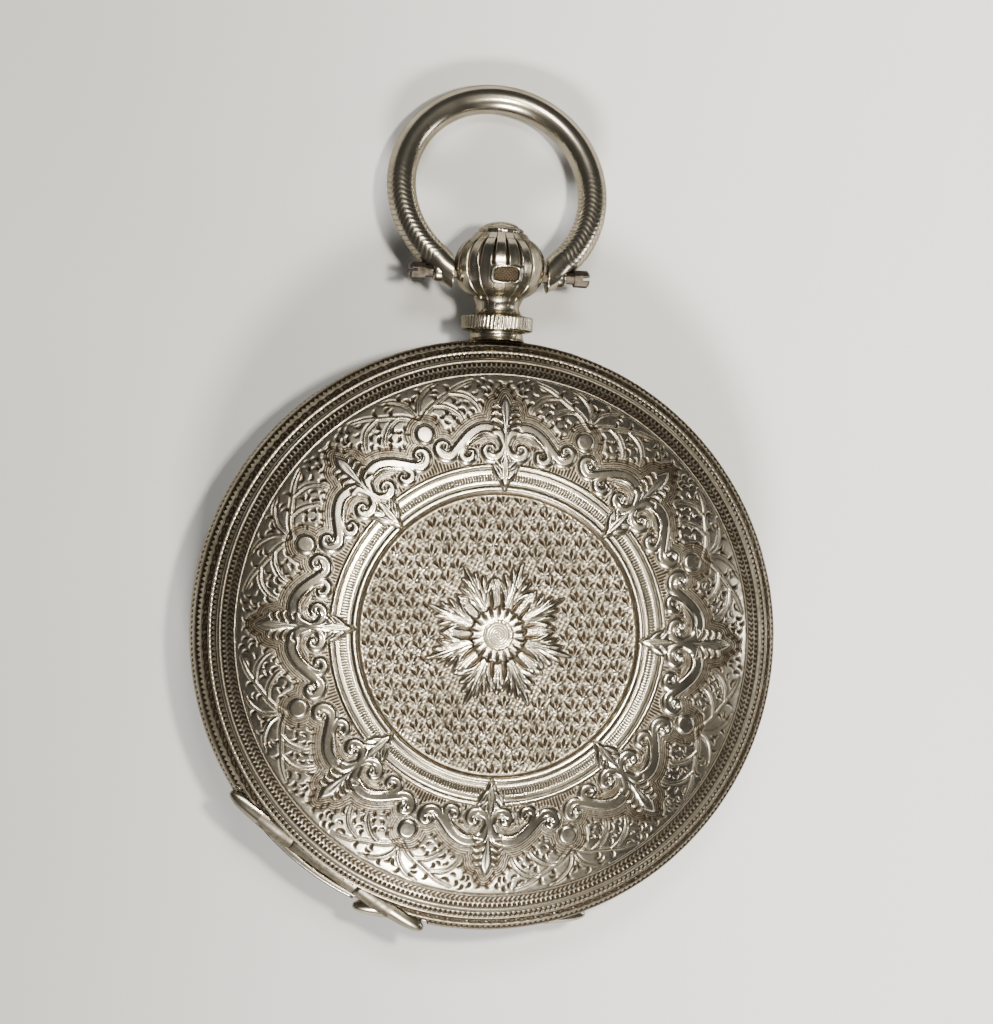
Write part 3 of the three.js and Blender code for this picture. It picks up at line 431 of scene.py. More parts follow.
def sprig(rng):
    """Three leaf cuts that fan from one root, the left one broadest."""
    found = []
    for lean, size, wide in ((-38, 0.88, 0.21), (0, 1.06, 0.17), (38, 0.86, 0.16)):
        a = math.radians(lean + rng.uniform(-4, 4))
        s, c = math.sin(a), math.cos(a)
        rows = [(0.06, 0.03), (0.3, wide * 0.6), (0.6, wide), (0.84, wide * 0.7), (1.0, 0.01)]
        found.append(np.array([(s * size * t, c * size * t - 0.42, w) for t, w in rows]))
    return found


def sprig_leaves():
    """The bright pair of leaves under each sprig's cuts."""
    return both_sides([np.array([(0, -0.58, 0.08), (0.24, -0.22, 0.19), (0.44, 0.12, 0.03)])])


def ground_sprigs():
    rng = np.random.default_rng(7)
    sprigs, dots, leaves = [], [], []
    rows = int(11 / GROUND_PITCH[1]) + 1
    for row in range(-rows, rows + 1):
        for column in range(-9, 10):
            x = (column + 0.5 * (row % 2)) * GROUND_PITCH[0] + rng.uniform(-0.06, 0.06)
            y = row * GROUND_PITCH[1] + rng.uniform(-0.06, 0.06)
            angle = math.degrees(math.atan2(x, y)) % 360
            near = min(abs((angle - a + 180) % 360 - 180) for a in LEAF_ANGLES)
            inner = 5.5 if near < 9 else 4.75
            radius = math.hypot(x, y)
            if radius > 10.3:
                continue
            if radius > inner:
                shift = np.array([x, y, 0])
                sprigs += [k + shift for k in sprig(rng)]
                leaves += [k + shift for k in sprig_leaves()]
            for k in range(14):
                a = -1.5 + 3.0 * (k + 0.5) / 14
                reach = 0.50 + 0.15 * (k % 2) + rng.uniform(-0.03, 0.03)
                px, py = x + reach * math.sin(a) * 1.1, y - 0.12 - reach * math.cos(a)
                if inner - 0.7 < math.hypot(px, py) < 10.15:
                    dots.append(np.array([(px, py, 0.075), (px + 0.01, py, 0.075)]))
    return sprigs, dots, leaves


def scroll_half():
    """The right half of one scroll unit, with +Y pointing out along the palmette."""
    return [
        curve((0.1, 13.9, 0.2), (0.42, 14.85, 0.34), (1.07, 15.2, 0.44), (1.85, 15.15, 0.46),
              (2.6, 14.7, 0.44), (3.2, 14.1, 0.38), (3.72, 13.45, 0.36), (4.2, 13.02, 0.38),
              (4.8, 13.12, 0.36), (5.08, 13.62, 0.3), (4.78, 14.02, 0.24), (4.4, 13.9, 0.2),
              (4.42, 13.62, 0.2)),
        curve((0.15, 14.0, 0.2), (0.28, 13.45, 0.28), (0.75, 13.08, 0.32), (1.28, 13.14, 0.32),
              (1.56, 13.55, 0.28), (1.36, 13.93, 0.24), (1.0, 13.9, 0.18), (0.95, 13.68, 0.18)),
        curve((2.75, 14.4, 0.14), (3.16, 13.75, 0.22), (3.3, 13.15, 0.3), (2.95, 12.82, 0.3),
              (2.5, 13.0, 0.28), (2.45, 13.42, 0.2), (2.72, 13.5, 0.14)),
    ]


def palmette_half():
    strokes = [
        curve((0, 13.2, 0.2), (0, 13.9, 0.3), (0, 14.8, 0.16), (0, 15.7, 0.3), (0, 16.7, 0.5),
              (0, 17.3, 0.36), (0, 17.9, 0.03)),
        curve((0, 10.75, 0.03), (0, 11.3, 0.3), (0, 12.0, 0.42), (0, 12.8, 0.34), (0, 13.4, 0.22)),
        curve((0.05, 11.3, 0.1), (0.45, 11.85, 0.26), (0.78, 12.35, 0.14), (0.92, 12.6, 0.02)),
        curve((0.05, 12.1, 0.1), (0.5, 12.65, 0.26), (0.92, 13.0, 0.12), (1.12, 13.1, 0.02)),
    ]
    for k in range(4):
        y = 14.95 + 0.52 * k
        strokes.append(curve((0.08, y, 0.08), (0.48, y + 0.36, 0.17), (0.92 - 0.06 * k, y + 0.5, 0.15),
                             (1.28 - 0.1 * k, y + 0.3, 0.02)))
    return strokes


def palmette_cuts():
    cuts = [
        curve((0, 14.9, 0.03), (0, 16.0, 0.07), (0, 17.2, 0.02)),
        curve((0, 11.2, 0.02), (0, 12.0, 0.06), (0, 13.0, 0.03)),
        curve((0.12, 11.5, 0.02), (0.45, 11.95, 0.05), (0.7, 12.3, 0.02)),
        curve((0.12, 12.3, 0.02), (0.5, 12.75, 0.05), (0.85, 12.95, 0.02)),
    ]
    for k in range(4):
        y = 15.1 + 0.52 * k
        cuts.append(np.array([(0.3, y + 0.05, 0.02), (0.85, y + 0.13, 0.15), (1.2, y - 0.1, 0.02)]))
    return cuts


def scroll_ribs():
    """The polished ridge along the hollow side of each scroll."""
    return [
        curve((0.75, 14.6, 0.06), (1.25, 14.85, 0.14), (1.9, 14.78, 0.16), (2.45, 14.35, 0.15),
              (2.95, 13.75, 0.12), (3.2, 13.2, 0.05)),
        curve((3.95, 13.4, 0.04), (4.35, 13.25, 0.12), (4.75, 13.45, 0.12), (4.7, 13.75, 0.05)),
        curve((0.5, 13.5, 0.04), (0.85, 13.3, 0.11), (1.2, 13.45, 0.11), (1.2, 13.7, 0.05)),
    ]


def polar(*rows):
    """A curve through rows of (degrees from the palmette, radius, half width)."""
    return curve(*[(r * math.sin(math.radians(a)), r * math.cos(math.radians(a)), w) for a, r, w in rows])


def sprays():
    """The leafy stems on one side of a palmette, from between the scrolls out to the rim."""
    return [
        polar((22.3, 16.75, 0.15), (19.0, 17.45, 0.15), (14.5, 18.05, 0.12), (11.0, 18.6, 0.09),
              (7.5, 18.95, 0.03)),
        polar((18.0, 17.6, 0.12), (15.0, 17.3, 0.13), (12.3, 16.6, 0.10), (11.4, 15.95, 0.03)),
        polar((13.5, 18.2, 0.10), (10.0, 17.9, 0.11), (7.6, 17.25, 0.08), (6.4, 16.45, 0.03)),
        polar((22.4, 17.2, 0.10), (21.2, 18.1, 0.11), (18.5, 18.8, 0.09), (15.5, 19.1, 0.03)),
    ]


def leaf_rows(stems, rng):
    """Comma cuts in rows along both sides of each stem, leaning forward like the lobes of a leaf."""
    found = []
    for stem in stems:
        line = resample(stem, 0.44)
        ahead = np.gradient(line[:, :2], axis=0)
        for away, size, wide in ((0.13, 0.74, 0.16), (0.80, 0.56, 0.14)):
            for (x, y, w), (dx, dy) in zip(line, ahead):
                heading = math.atan2(dx, dy)
                for side in (-1, 1):
                    px = x + side * (w + away) * math.cos(heading)
                    py = y - side * (w + away) * math.sin(heading)
                    long = size * rng.uniform(0.9, 1.1)
                    found.append(crescent(px, py, heading + side * 1.35, long, wide, -side * 1.7))
    return found


def filler_cuts(rng):
    """Smaller comma cuts for the room the stems leave."""
    found = []
    for radius in np.arange(15.3, 19.0, 0.24):
        for turn in np.arange(1.0, 22.5, 0.8):
            a = math.radians(turn)
            x, y = radius * math.sin(a), radius * math.cos(a)
            found.append(crescent(x, y, a - 1.2 + rng.uniform(-0.3, 0.3), 0.58, 0.15, 1.8))
    return found


def foliage_cuts(scrolls, stems):
    """Every comma cut between the scrolls and the rim, each kept clear of whatever was cut before it."""
    rng = np.random.default_rng(11)
    half = leaf_rows(sprays(), rng) + filler_cuts(rng)
    taken = blank(-2.0)
    kept = []
    for mark in half:
        x, y = mark[:, 0], mark[:, 1]
        radius = np.hypot(x, y)
        turn = np.degrees(np.arctan2(x, y))
        outside = radius.max() > 19.12 or turn.min() < 0.6 or turn.max() > 22.4
        crowded = look_up(scrolls, x, y).max() > -0.26 or look_up(stems, x, y).max() > -0.03
        if not (outside or crowded or look_up(taken, x, y).max() > -0.07):
            kept.append(mark)
            paint(taken, [mark])
    return eightfold(both_sides(kept))


def engrave():
    """Maps of the engraved face: its height, its tarnish depth, and 1 where no leaf or scroll lies."""
    x, y = np.meshgrid(MAP_LINE, MAP_LINE)
    radius = np.hypot(x, y)
    clock = np.arctan2(x, y)
    up, down = blank(), blank().astype(float)

    # The rosette
    leaves = painted(rosette_leaves() + rosette_fillers(), start=-2.0)
    flower = np.where(radius > 1.95, leaves, -2)
    up += 0.13 * step(flower, 0.0, 0.2)
    sink = step(-flower, 0.0, 0.05) * step(0.17 + flower, 0, 0.07) * step(radius, 1.9, 2.1)
    deepen(down, 0.10 * sink)
    paint(down, rosette_veins(), 0.8)
    paint(down, eye_wedges(), 0.75)
    rings = 0.5 - 0.5 * np.cos(math.tau * (radius / 0.19 + clock / math.tau))
    deepen(down, 0.07 * rings * (radius < 1.0))
    up += 0.05 * step(1.12 - radius, 0.0, 0.08)
    eye_edge = 2.02 + 0.07 * np.cos(18 * clock)
    deepen(down, 0.13 * tent(radius - eye_edge, 0.12))

    # The sprigs on their stippled ground
    sprigs, dots, sprig_pads = ground_sprigs()
    clear = step(-flower, 0.10, 0.18) * step(radius, 3.3, 3.5)
    ground = painted(sprigs, 0.85)
    paint(ground, dots, 1.2)
    pads = painted(sprig_pads, 0.5)
    inside_edge = step(10.28 - radius, 0, 0.08)
    up += pads * clear * inside_edge
    ripple = 0.034 * (1 + np.sin(13 * x + 4 * y) * np.sin(12 * y - 5 * x)) * step(0.06 - pads, 0, 0.05)
    deepen(down, np.maximum(ground, ripple) * clear * inside_edge)

    # The scroll frame and its palmettes
    frame_half = [k * np.array([1, 1, 1.16]) for k in scroll_half()] + palmette_half()
    disc = rotated([np.array([(0, 15.75, 0.74), (0, 15.8, 0.74)])], 22.5)
    scrolls = painted(eightfold(both_sides(frame_half) + disc), start=-2.0)
    deepen(down, 0.12 * tent(scrolls + 0.04, 0.06))
    up += 0.10 * step(scrolls, 0.0, 0.24)
    deepen(down, painted(eightfold(both_sides(palmette_cuts())), 0.9))
    up += painted(eightfold(both_sides(scroll_ribs())), 0.7)
    field = step(-scrolls, 0.1, 0.16)
    inner_field = field * step(radius, 12.72, 12.8) * step(14.3 - radius, 0, 0.2)
    deepen(down, (0.03 + 0.08 * wave(HATCHES * clock)) * inner_field)
    echo = wave(math.tau * scrolls / 0.17)
    inside_rim = step(19.2 - radius, 0, 0.06)
    outline = field * step(0.95 + scrolls, 0, 0.3) * step(radius, 13.6, 14.2) * inside_rim
    deepen(down, (0.02 + 0.06 * echo) * outline)

    # The foliage
    stems = painted(eightfold(both_sides(sprays())), start=-2.0)
    outside = step(-scrolls, 0.05, 0.15) * step(radius, 14.5, 15.0) * inside_rim
    up += 0.06 * step(stems, 0.0, 0.1) * outside
    deepen(down, 0.07 * tent(stems + 0.045, 0.06) * outside)
    deepen(down, painted(foliage_cuts(scrolls, stems), 0.95))

    # The beads and grooves round the scroll frame
    outside_leaf = step(-scrolls, 0.05, 0.1)
    for centre, wide, high in ((10.78, 0.24, 0.13), (12.5, 0.15, 0.09)):
        up += high * half_round(radius - centre, wide) * outside_leaf
    grooves = [(10.43, 0.15, 0.11), (11.08, 0.07, 0.07), (12.30, 0.08, 0.09), (12.70, 0.08, 0.11),
               (19.28, 0.07, 0.09)]
    for centre, wide, deep in grooves:
        deepen(down, deep * tent(radius - centre, wide) * outside_leaf)
    film = 0.02 * step(radius, 13.0, 19.0) + 0.009 * step(0.06 - pads, 0, 0.05) * clear * inside_edge
    return up - down, down + film, outside_leaf


def zigzag_row(radius, clock):
    """The slanting cuts between the medallion's bead and the scroll frame."""
    away = np.abs(radius - 11.62)
    return np.clip(np.cos(HATCHES * clock + 6 * away), 0, 1) * step(0.27 - away, 0, 0.06)


def rim_relief(radius, clock):
    """Height and tarnish depth of the milled rows between the foliage and the edge."""
    phase = np.abs((TEETH * clock / math.tau) % 1 - 0.5) * 2
    tooth = wave(TEETH * clock)
    height = np.zeros_like(radius)
    depth = np.zeros_like(radius)

    def between(low, high, soft=0.03):
        return step(radius, low - soft, low + soft) * step(high - radius, -soft, soft)

    def triangles(low, high):
        share = np.clip((radius - low) / (high - low), 0, 1)
        return np.clip((share - phase) / 0.45, 0, 1) * between(low, high, 0.02)

    rope = wave(TEETH * clock + 16 * np.abs(radius - 19.74))
    depth += 0.07 * between(19.52, 19.94) * (0.15 + 0.85 * rope)
    height += 0.10 * (1 - tooth) * between(20.04, 20.2, 0.02)
    depth += 0.08 * tooth * between(20.0, 20.22, 0.02)
    depth += 0.13 * triangles(20.66, 20.98)
    depth += 0.12 * triangles(21.66, 21.88)
    beads = [(20.43, 0.17, 0.07), (21.1, 0.07, 0.07), (21.57, 0.05, 0.06), (21.95, 0.04, 0.06)]
    for centre, wide, high in beads:
        height += high * half_round(radius - centre, wide)
    waves = np.zeros_like(radius)
    for turn in (0, math.pi):
        deepen(waves, tent(radius - 21.34 - 0.10 * np.sin(90 * clock + turn), 0.055))
    height += 0.07 * waves
    depth += 0.10 * between(21.17, 21.51) * (1 - waves)
    for centre, wide in ((19.44, 0.06), (20.27, 0.03), (20.62, 0.03), (21.9, 0.02)):
        depth += 0.08 * tent(radius - centre, wide)
    return height - depth, depth + 0.03


# ---- Cover surfaces ----
def cover_height(radius):
    """Outside height of a cover above the mid plane."""
    share = np.clip((radius - MEDALLION) / (CASE_RADIUS - MEDALLION), 0, 1)
    return RIM_HEIGHT + (MID_PLANE - RIM_HEIGHT) * (1 - share ** 2) ** 0.6


def cover_profile(r0, r1, spacing):
    """Evenly spaced radius, height, radial normal and upward normal between two radii of a cover."""
    fine = r0 + (r1 - r0) * np.sin(np.linspace(0, math.pi / 2, 4000))
    rows = resample(columns(fine, cover_height(fine)), spacing)
    slope = np.gradient(rows, axis=0)
    slope /= np.linalg.norm(slope, axis=1)[:, None]
    return rows[:, 0], rows[:, 1], -slope[:, 1], slope[:, 0]


def pushed_out(a, b, close, room):
    """How far points at (a, b) from a hinge's axis move to clear its room, where they are close to it."""
    reach = np.hypot(a, b)
    scale = np.where(close & (reach < room), room / np.maximum(reach, 1e-6), 1.0)
    return a * (scale - 1), b * (scale - 1)


def clear_hinge(u, v, h):
    """Moves points of a cover out of the room round its hinge tubes. The hinge lies at v = -radius."""
    across = np.abs(u) < HINGE["half"] + 0.1
    edge = -HINGE["radius"] + HINGE["chord"]
    v = np.where(across & (h < HINGE["height"] + 1.52) & (v < edge), edge, v)
    dv, dh = v + HINGE["radius"], h - HINGE["height"]
    move_v, move_h = pushed_out(dv, dh, across & (h > HINGE["height"] - 0.2), HINGE["tube"] + 0.07)
    return u, v + move_v, h + move_h


def place_cover(u, v, h, back):
    """Cover coordinates to the CAD frame. The back cover is turned over and round the case."""
    if not back:
        return columns(u, v, MID_PLANE - h)
    return columns(*turned(-u, v, BACK_TURN), MID_PLANE + h)


def hinge_frame(x, y, back):
    """From the engraved map, seen from outside the cover, to cover coordinates."""
    if not back:
        return -x, y
    x, y = turned(x, y, -BACK_TURN)
    return -x, y


def engraved_zone(name, r0, r1, spacing, segments, relief, back):
    """One ring of the cover as a dense mesh, with the engraving as real depth."""
    radius, height, nr, nh = cover_profile(r0, r1, spacing)
    r, t = np.meshgrid(radius, full_turn(segments), indexing="ij")
    lift, depth = relief(r, t)
    out = r + nr[:, None] * lift
    h = height[:, None] + nh[:, None] * lift
    return finish_cover(name, out * np.sin(t), out * np.cos(t), h, depth, back, True)


def finish_cover(name, x, y, h, depth, back, wrap):
    u, v, h = clear_hinge(*hinge_frame(x, y, back), h)
    body = "back_cover" if back else "front_lid"
    return grid_piece(name, place_cover(u, v, h, back), ENGRAVED, body, depth / 0.12, wrap)


def medallion(name, count, relief, back):
    """The flat centre, as a square grid bent into a disc with cells of nearly equal size."""
    line = np.linspace(-1, 1, count)
    a, b = np.meshgrid(line, line)
    wide = np.abs(a) > np.abs(b)
    radius = np.where(wide, np.abs(a), np.abs(b))
    with np.errstate(divide="ignore", invalid="ignore"):
        angle = np.where(wide, np.where(a < 0, math.pi, 0) + math.pi / 4 * b / a,
                         np.where(b < 0, -math.pi / 2, math.pi / 2) - math.pi / 4 * a / b)
    angle = np.nan_to_num(angle)
    x, y = MEDALLION * radius * np.cos(angle), MEDALLION * radius * np.sin(angle)
    lift, depth = relief(np.hypot(x, y), np.arctan2(x, y))
    return finish_cover(name, x, y, MID_PLANE + lift, depth, back, False)


def make_cover(prefix, back, fine):
    """One cover in four rings and a lining. fine is how closely its engraving is meshed."""

    def from_map(r, t):
        lift, depth, clear = (look_up(layer, r * np.sin(t), r * np.cos(t)) for layer in ENGRAVING)
        zigzag = 0.11 * zigzag_row(r, t) * clear
        lift, depth = lift - zigzag, np.maximum(depth, zigzag)
        if not back:
            # The front lid's engraving would sink into the table if it stood out further than this.
            lift = np.minimum(lift, np.maximum(MID_PLANE - cover_height(r), 0))
        return lift, depth

    medallion(prefix + "_medallion", int(330 * fine), from_map, back)
    zones = [("_frame", MEDALLION, FRAME_EDGE, 0.062, 1408, from_map),
             ("_foliage", FRAME_EDGE, RIM_EDGE, 0.07, 1500, from_map),
             ("_rim", RIM_EDGE, CASE_RADIUS - 0.001, 0.075, TEETH * 4, rim_relief)]
    for ending, r0, r1, spacing, segments, relief in zones:
        engraved_zone(prefix + ending, r0, r1, spacing / fine, int(segments * fine), relief, back)
    lining = cover_lining(prefix + "_lining", back)
    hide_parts("back_cover" if back else "front_lid")


def cover_lining(name, back):
    """The cover's edge and its smooth inside."""
    radius, height, nr, nh = cover_profile(MEDALLION, 21.99, 0.5)
    inner = columns(radius - nr * COVER_WALL, height - nh * COVER_WALL)
    inner = inner[inner[:, 1] > RIM_HEIGHT + 0.15][::-1]
    edge = [(21.96, 1.2), (21.98, 1.08), (21.9, 1.06), (21.45, 1.06), (21.4, 1.12)]
    flat = [(r, MID_PLANE - COVER_WALL) for r in (9.0, 6.0, 3.0, 0.02)]
    rows = np.concatenate([edge, inner, flat])
    r, t = np.meshgrid(rows[:, 0], full_turn(288), indexing="ij")
    h = np.repeat(rows[:, 1:2], 288, axis=1)
    u, v, h = clear_hinge(r * np.sin(t), r * np.cos(t), h)
    return grid_piece(name, place_cover(u, v, h, back), LINING, "back_cover" if back else "front_lid")


# ---- Turned and swept pieces ----
def lathe_points(profile, segments, modulate=None):
    """A profile of (radius, height) turned about +Z. modulate(r, h, angle) gives a change of radius."""
    rows = np.asarray(profile, float)
    r, a = np.meshgrid(rows[:, 0], full_turn(segments), indexing="ij")
    h = np.repeat(rows[:, 1:2], segments, axis=1)
    if modulate is not None:
        r = r + modulate(r, h, a)
    return columns(r * np.cos(a), r * np.sin(a), h)


def along_y(points):
    """Turned points laid along +Y on the pendant's axis."""
    x, z, y = parts_of(points)
    return columns(x, y, MID_PLANE + z)


def along_x(points, y, z):
    return columns(points[..., 2], points[..., 0] + y, points[..., 1] + z)


def flip_back(points):
    """From the front hinge's place to the back hinge's."""
    x, y, z = parts_of(points)
    return columns(*turned(-x, y, BACK_TURN), 2 * MID_PLANE - z)


def flip_back_inverse(points):
    x, y, z = parts_of(points)
    x, y = turned(x, y, -BACK_TURN)
    return columns(-x, y, 2 * MID_PLANE - z)


def same(points):
    return points


def rounded_bar(length0, length1, radius, edge=0.08):
    """The profile of a solid bar with rounded rims, from one length to another."""
    inset = edge * 0.3
    rim = [(0.01, 0), (radius - edge, 0), (radius - inset, inset), (radius, edge)]
    first = [(r, length0 + x) for r, x in rim]
    return first + [(r, length1 - x) for r, x in reversed(rim)]


# ---- Build the covers ----
ENGRAVING = engrave()
make_cover("back", True, 1.0)
make_cover("lid", False, 0.5)


# ---- Hinge tubes, lips and the milled band ----
def lip_radius(x):
    """The radius of a fixed hinge lip, which narrows to a rounded tip, at x from the hinge's middle."""
    share = (np.abs(x) - HINGE["middle"]) / (HINGE["half"] + 0.2 - HINGE["middle"])
    tip = np.clip((share - 0.66) / 0.34, 0, 1)
    return (HINGE["tube"] - 0.30 * step(share, 0.25, 1.0)) * np.sqrt(np.maximum(1 - tip ** 2.4, 0)) + 0.02


def make_hinges():
    """The two cover hinges: a moving tube in the middle and a tapered lip on the case at each end."""
    y, z = -HINGE["radius"], MID_PLANE - HINGE["height"]
    inner, outer = HINGE["middle"] + 0.05, HINGE["half"] + 0.2
    reach = inner + (outer - inner) * (1 - (1 - np.linspace(0, 1, 40)) ** 1.6)
    for side, turn, moving in (("front", same, "front_lid"), ("back", flip_back, "back_cover")):
        middle = lathe_points(rounded_bar(-HINGE["middle"], HINGE["middle"], HINGE["tube"]), 40)
        dull = np.full(middle.shape[:2], 0.4)
        grid_piece(f"{side}_knuckle", turn(along_x(middle, y, z)), ENGRAVED, moving, dull)
        for hand, sign in (("a", 1), ("b", -1)):
            profile = [(0.36, sign * inner), *((float(lip_radius(x)), sign * x) for x in reach)]
            dull = np.repeat(0.4 * (np.abs(np.array(profile)[:, 1]) < 6), 40)
            points = turn(along_x(lathe_points(profile, 40), y, z))
            grid_piece(f"{side}_hinge_lip_{hand}", points, ENGRAVED, "case", dull)


def make_case_ring():
    """The case's inner ring and web, with its outer hinge knuckles drawn in under the smooth lips."""
    node = frame["nodes"]["case_middle"]
    mesh = node.data.copy()
    mesh.name = "case_ring"
    mesh.materials.clear()
    count = len(mesh.vertices)
    points = np.zeros(count * 3, np.float32)
    mesh.vertices.foreach_get("co", points)
    place = np.array(node.matrix_world)
    points = (points.reshape(-1, 3) @ place[:3, :3].T + place[:3, 3]) / MM
    for turn, unturn in ((same, same), (flip_back, flip_back_inverse)):
        local = unturn(points)
        dy, dz = local[:, 1] + HINGE["radius"], local[:, 2] - (MID_PLANE - HINGE["height"])
        reach = np.hypot(dy, dz)
        near = (reach < HINGE["tube"] + 0.05) & (np.abs(local[:, 0]) < HINGE["half"] + 0.1)
        core = np.clip(lip_radius(local[:, 0]) - 0.12, 0.01, 0.42)
        scale = np.where(near, np.minimum(1, core / np.maximum(reach, 1e-6)), 1)
        local[:, 1] += dy * (scale - 1)
        local[:, 2] += dz * (scale - 1)
        points = turn(local)
    radius = np.hypot(points[:, 0], points[:, 1])
    points[:, :2] *= np.where(radius > 21.6, 21.6 / np.maximum(radius, 1), 1)[:, None]
    mesh.vertices.foreach_set("co", (points * MM).astype(np.float32).ravel())
    mesh.update()
    piece = new_piece("case_ring", mesh, LINING, "case")
    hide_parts("case_middle")


def near_hinge(angle):
    """1 between the ends of the front hinge or the back hinge, else 0."""
    found = 0
    for centre in (-90, -90 + BACK_TURN):
        off = np.abs((angle - math.radians(centre) + math.pi) % math.tau - math.pi)
        found = np.maximum(found, step(math.asin(HINGE["half"] / CASE_RADIUS) - off, -0.01, 0.02))
    return found


def make_band():
    """The case band, milled with fine upright teeth between two plain edges."""
    half, radius = BAND["half"], BAND["radius"]
    edge = [(21.66, half), (21.95, half), (radius, half - 0.08), (radius, half - 0.2)]
    side = [(radius, z) for z in np.linspace(-half + 0.26, half - 0.26, 14)]
    rows = [(r, -z) for r, z in edge] + side + edge[::-1]

    def teeth(r, h, a):
        row = step(half - 0.24 - np.abs(h), 0, 0.05)
        milled = -0.09 * row * wave(TEETH * a + 1.2 * h) * (1 - near_hinge(a))
        return milled - 0.14 * near_hinge(a) * (r > 21.7)

    points = lathe_points(rows, TEETH * 4, teeth)
    x, y, z = parts_of(points)
    plain_part = near_hinge(np.arctan2(y, x))
    cut = np.clip((radius - np.hypot(x, y)) / 0.1, 0, 1) * (np.abs(z) < half - 0.1)
    cut = cut * (1 - plain_part) + 0.15 * plain_part
    points[..., 2] += MID_PLANE
    grid_piece("milled_band", points, ENGRAVED, "case", cut, wrap_rows=True)


make_hinges()
make_case_ring()
make_band()


# ---- Pendant ----
def make_pendant():
    """The neck, the milled collar and the fluted ball with its blank plate."""
    low, high = BALL["y0"], BALL["y1"]
    half = (high - low) / 2
    profile = [(2.35, 21.5), (2.12, 21.9), (1.99, 22.3), (1.95, 22.62), (2.3, 22.7), (2.6, 22.76)]
    profile += [(2.7, y) for y in np.linspace(22.86, 23.76, 12)]
    profile += [(2.6, 23.84), (2.2, 23.9), (1.8, 24.02), (1.66, 24.3), (1.62, 24.6)]
    for angle in np.linspace(-64, 57, 110):
        a = math.radians(angle)
        profile.append((BALL["radius"] * math.cos(a) ** 0.72, low + half + half * math.sin(a)))
    profile += [(1.95, 30.06), (1.86, 30.1), (1.82, 30.04), (1.8, 29.3), (0.85, 29.25)]
    flutes = 20

    def shape(r, y, a):
        collar = step(y, 22.84, 22.9) * step(23.78 - y, 0, 0.06)
        mill = -0.05 * collar * wave(56 * a + 2 * y)
        t = np.clip((y - low) / (high - low), 0, 1)
        on_ball = (y > low + 0.15) & (y < high - 0.1) & (r > 1.9)
        x_side, z_side = r * np.cos(a), r * np.sin(a)
        y_side = y - LABEL["y"]
        label = step(1.42 - np.abs(x_side), 0, 0.1) * step(0.78 - np.abs(y_side), 0, 0.1) * (z_side > 0)
        turns = flutes * a / math.tau + 0.5
        phase = turns % 1 - 0.5
        longer = 0.5 + 0.5 * np.sin(2.4 * np.floor(turns))
        low_end = 0.42 - 0.26 * longer
        long_cut = 0.15 * step(t, low_end, low_end + 0.16) * step(0.97 - t, 0, 0.12)
        cut = tent(phase, np.maximum(long_cut, 1e-3))
        swell = 0.014 * np.cos(math.tau * phase) * step(t, 0.1, 0.5) * step(1 - t, 0.02, 0.2)
        fluting = (swell - 0.22 * cut) * on_ball * (1 - label)
        border = ((x_side / LABEL["half_width"]) ** 4 + (y_side / LABEL["half_height"]) ** 4) ** 0.25
        here = (z_side > 0) * on_ball
        edge_ridge = 0.05 * tent(border - 1.0, 0.12)
        stipple = 0.04 * np.sin(24 * x_side) * np.sin(24 * y)
        sunk = (0.20 + stipple) * step(0.88 - border, 0, 0.06)
        return mill + fluting + (edge_ridge - sunk) * here

    points = lathe_points(profile, 720, shape)
    radius = np.hypot(points[..., 0], points[..., 1])
    cut = np.clip((np.asarray(profile)[:, :1] - radius) / 0.16, 0, 1)
    # The neck is cut to the case's round side.
    x, y, z = parts_of(along_y(points))
    seat = np.sqrt(np.maximum((CASE_RADIUS + 0.02) ** 2 - x ** 2, 0))
    y = np.where(y < 22.3, np.maximum(y, seat), y)
    piece = grid_piece("pendant_body", columns(x, y, z), ENGRAVED, "case", cut)
    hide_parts("pendant")


def make_push_piece():
    """The button in the ball's top, with its shaft."""
    y = BALL["y1"] - 0.1
    stem = [(0.01, 20.05), (0.65, 20.05), (0.8, 20.25), (0.8, y)]
    head = [(1.62, 0), (1.7, 0.06), (1.7, 0.34), (1.64, 0.42), (1.5, 0.5), (1.42, 0.5), (1.36, 0.58),
            (1.22, 0.72), (0.95, 0.84), (0.66, 0.92), (0.3, 0.98), (0.01, 1.0)]
    profile = stem + [(r, y + h) for r, h in head]

    def teeth(r, h, a):
        return -0.015 * wave(28 * a) * ((r > 1.65) & (h > y))

    points = lathe_points(profile, 224, teeth)
    seam = np.abs(np.hypot(points[..., 0], points[..., 1]) - 1.42) < 0.05
    cut = np.where(points[..., 2] > y + 0.44, np.where(seam, 0.7, 0), 0.3)
    piece = grid_piece("push_button", along_y(points), POLISHED, "push_piece", cut)
    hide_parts("push_piece")


make_pendant()
make_push_piece()


# ---- Bow ----
def bow_place(points):
    """Points drawn flat about the bow's pivot, laid over by its droop."""
    c, s = cos_sin(BOW["droop"])
    x, y, z = parts_of(points)
    return columns(x, BOW["pivot"] + y * c + z * s, MID_PLANE - y * s + z * c)


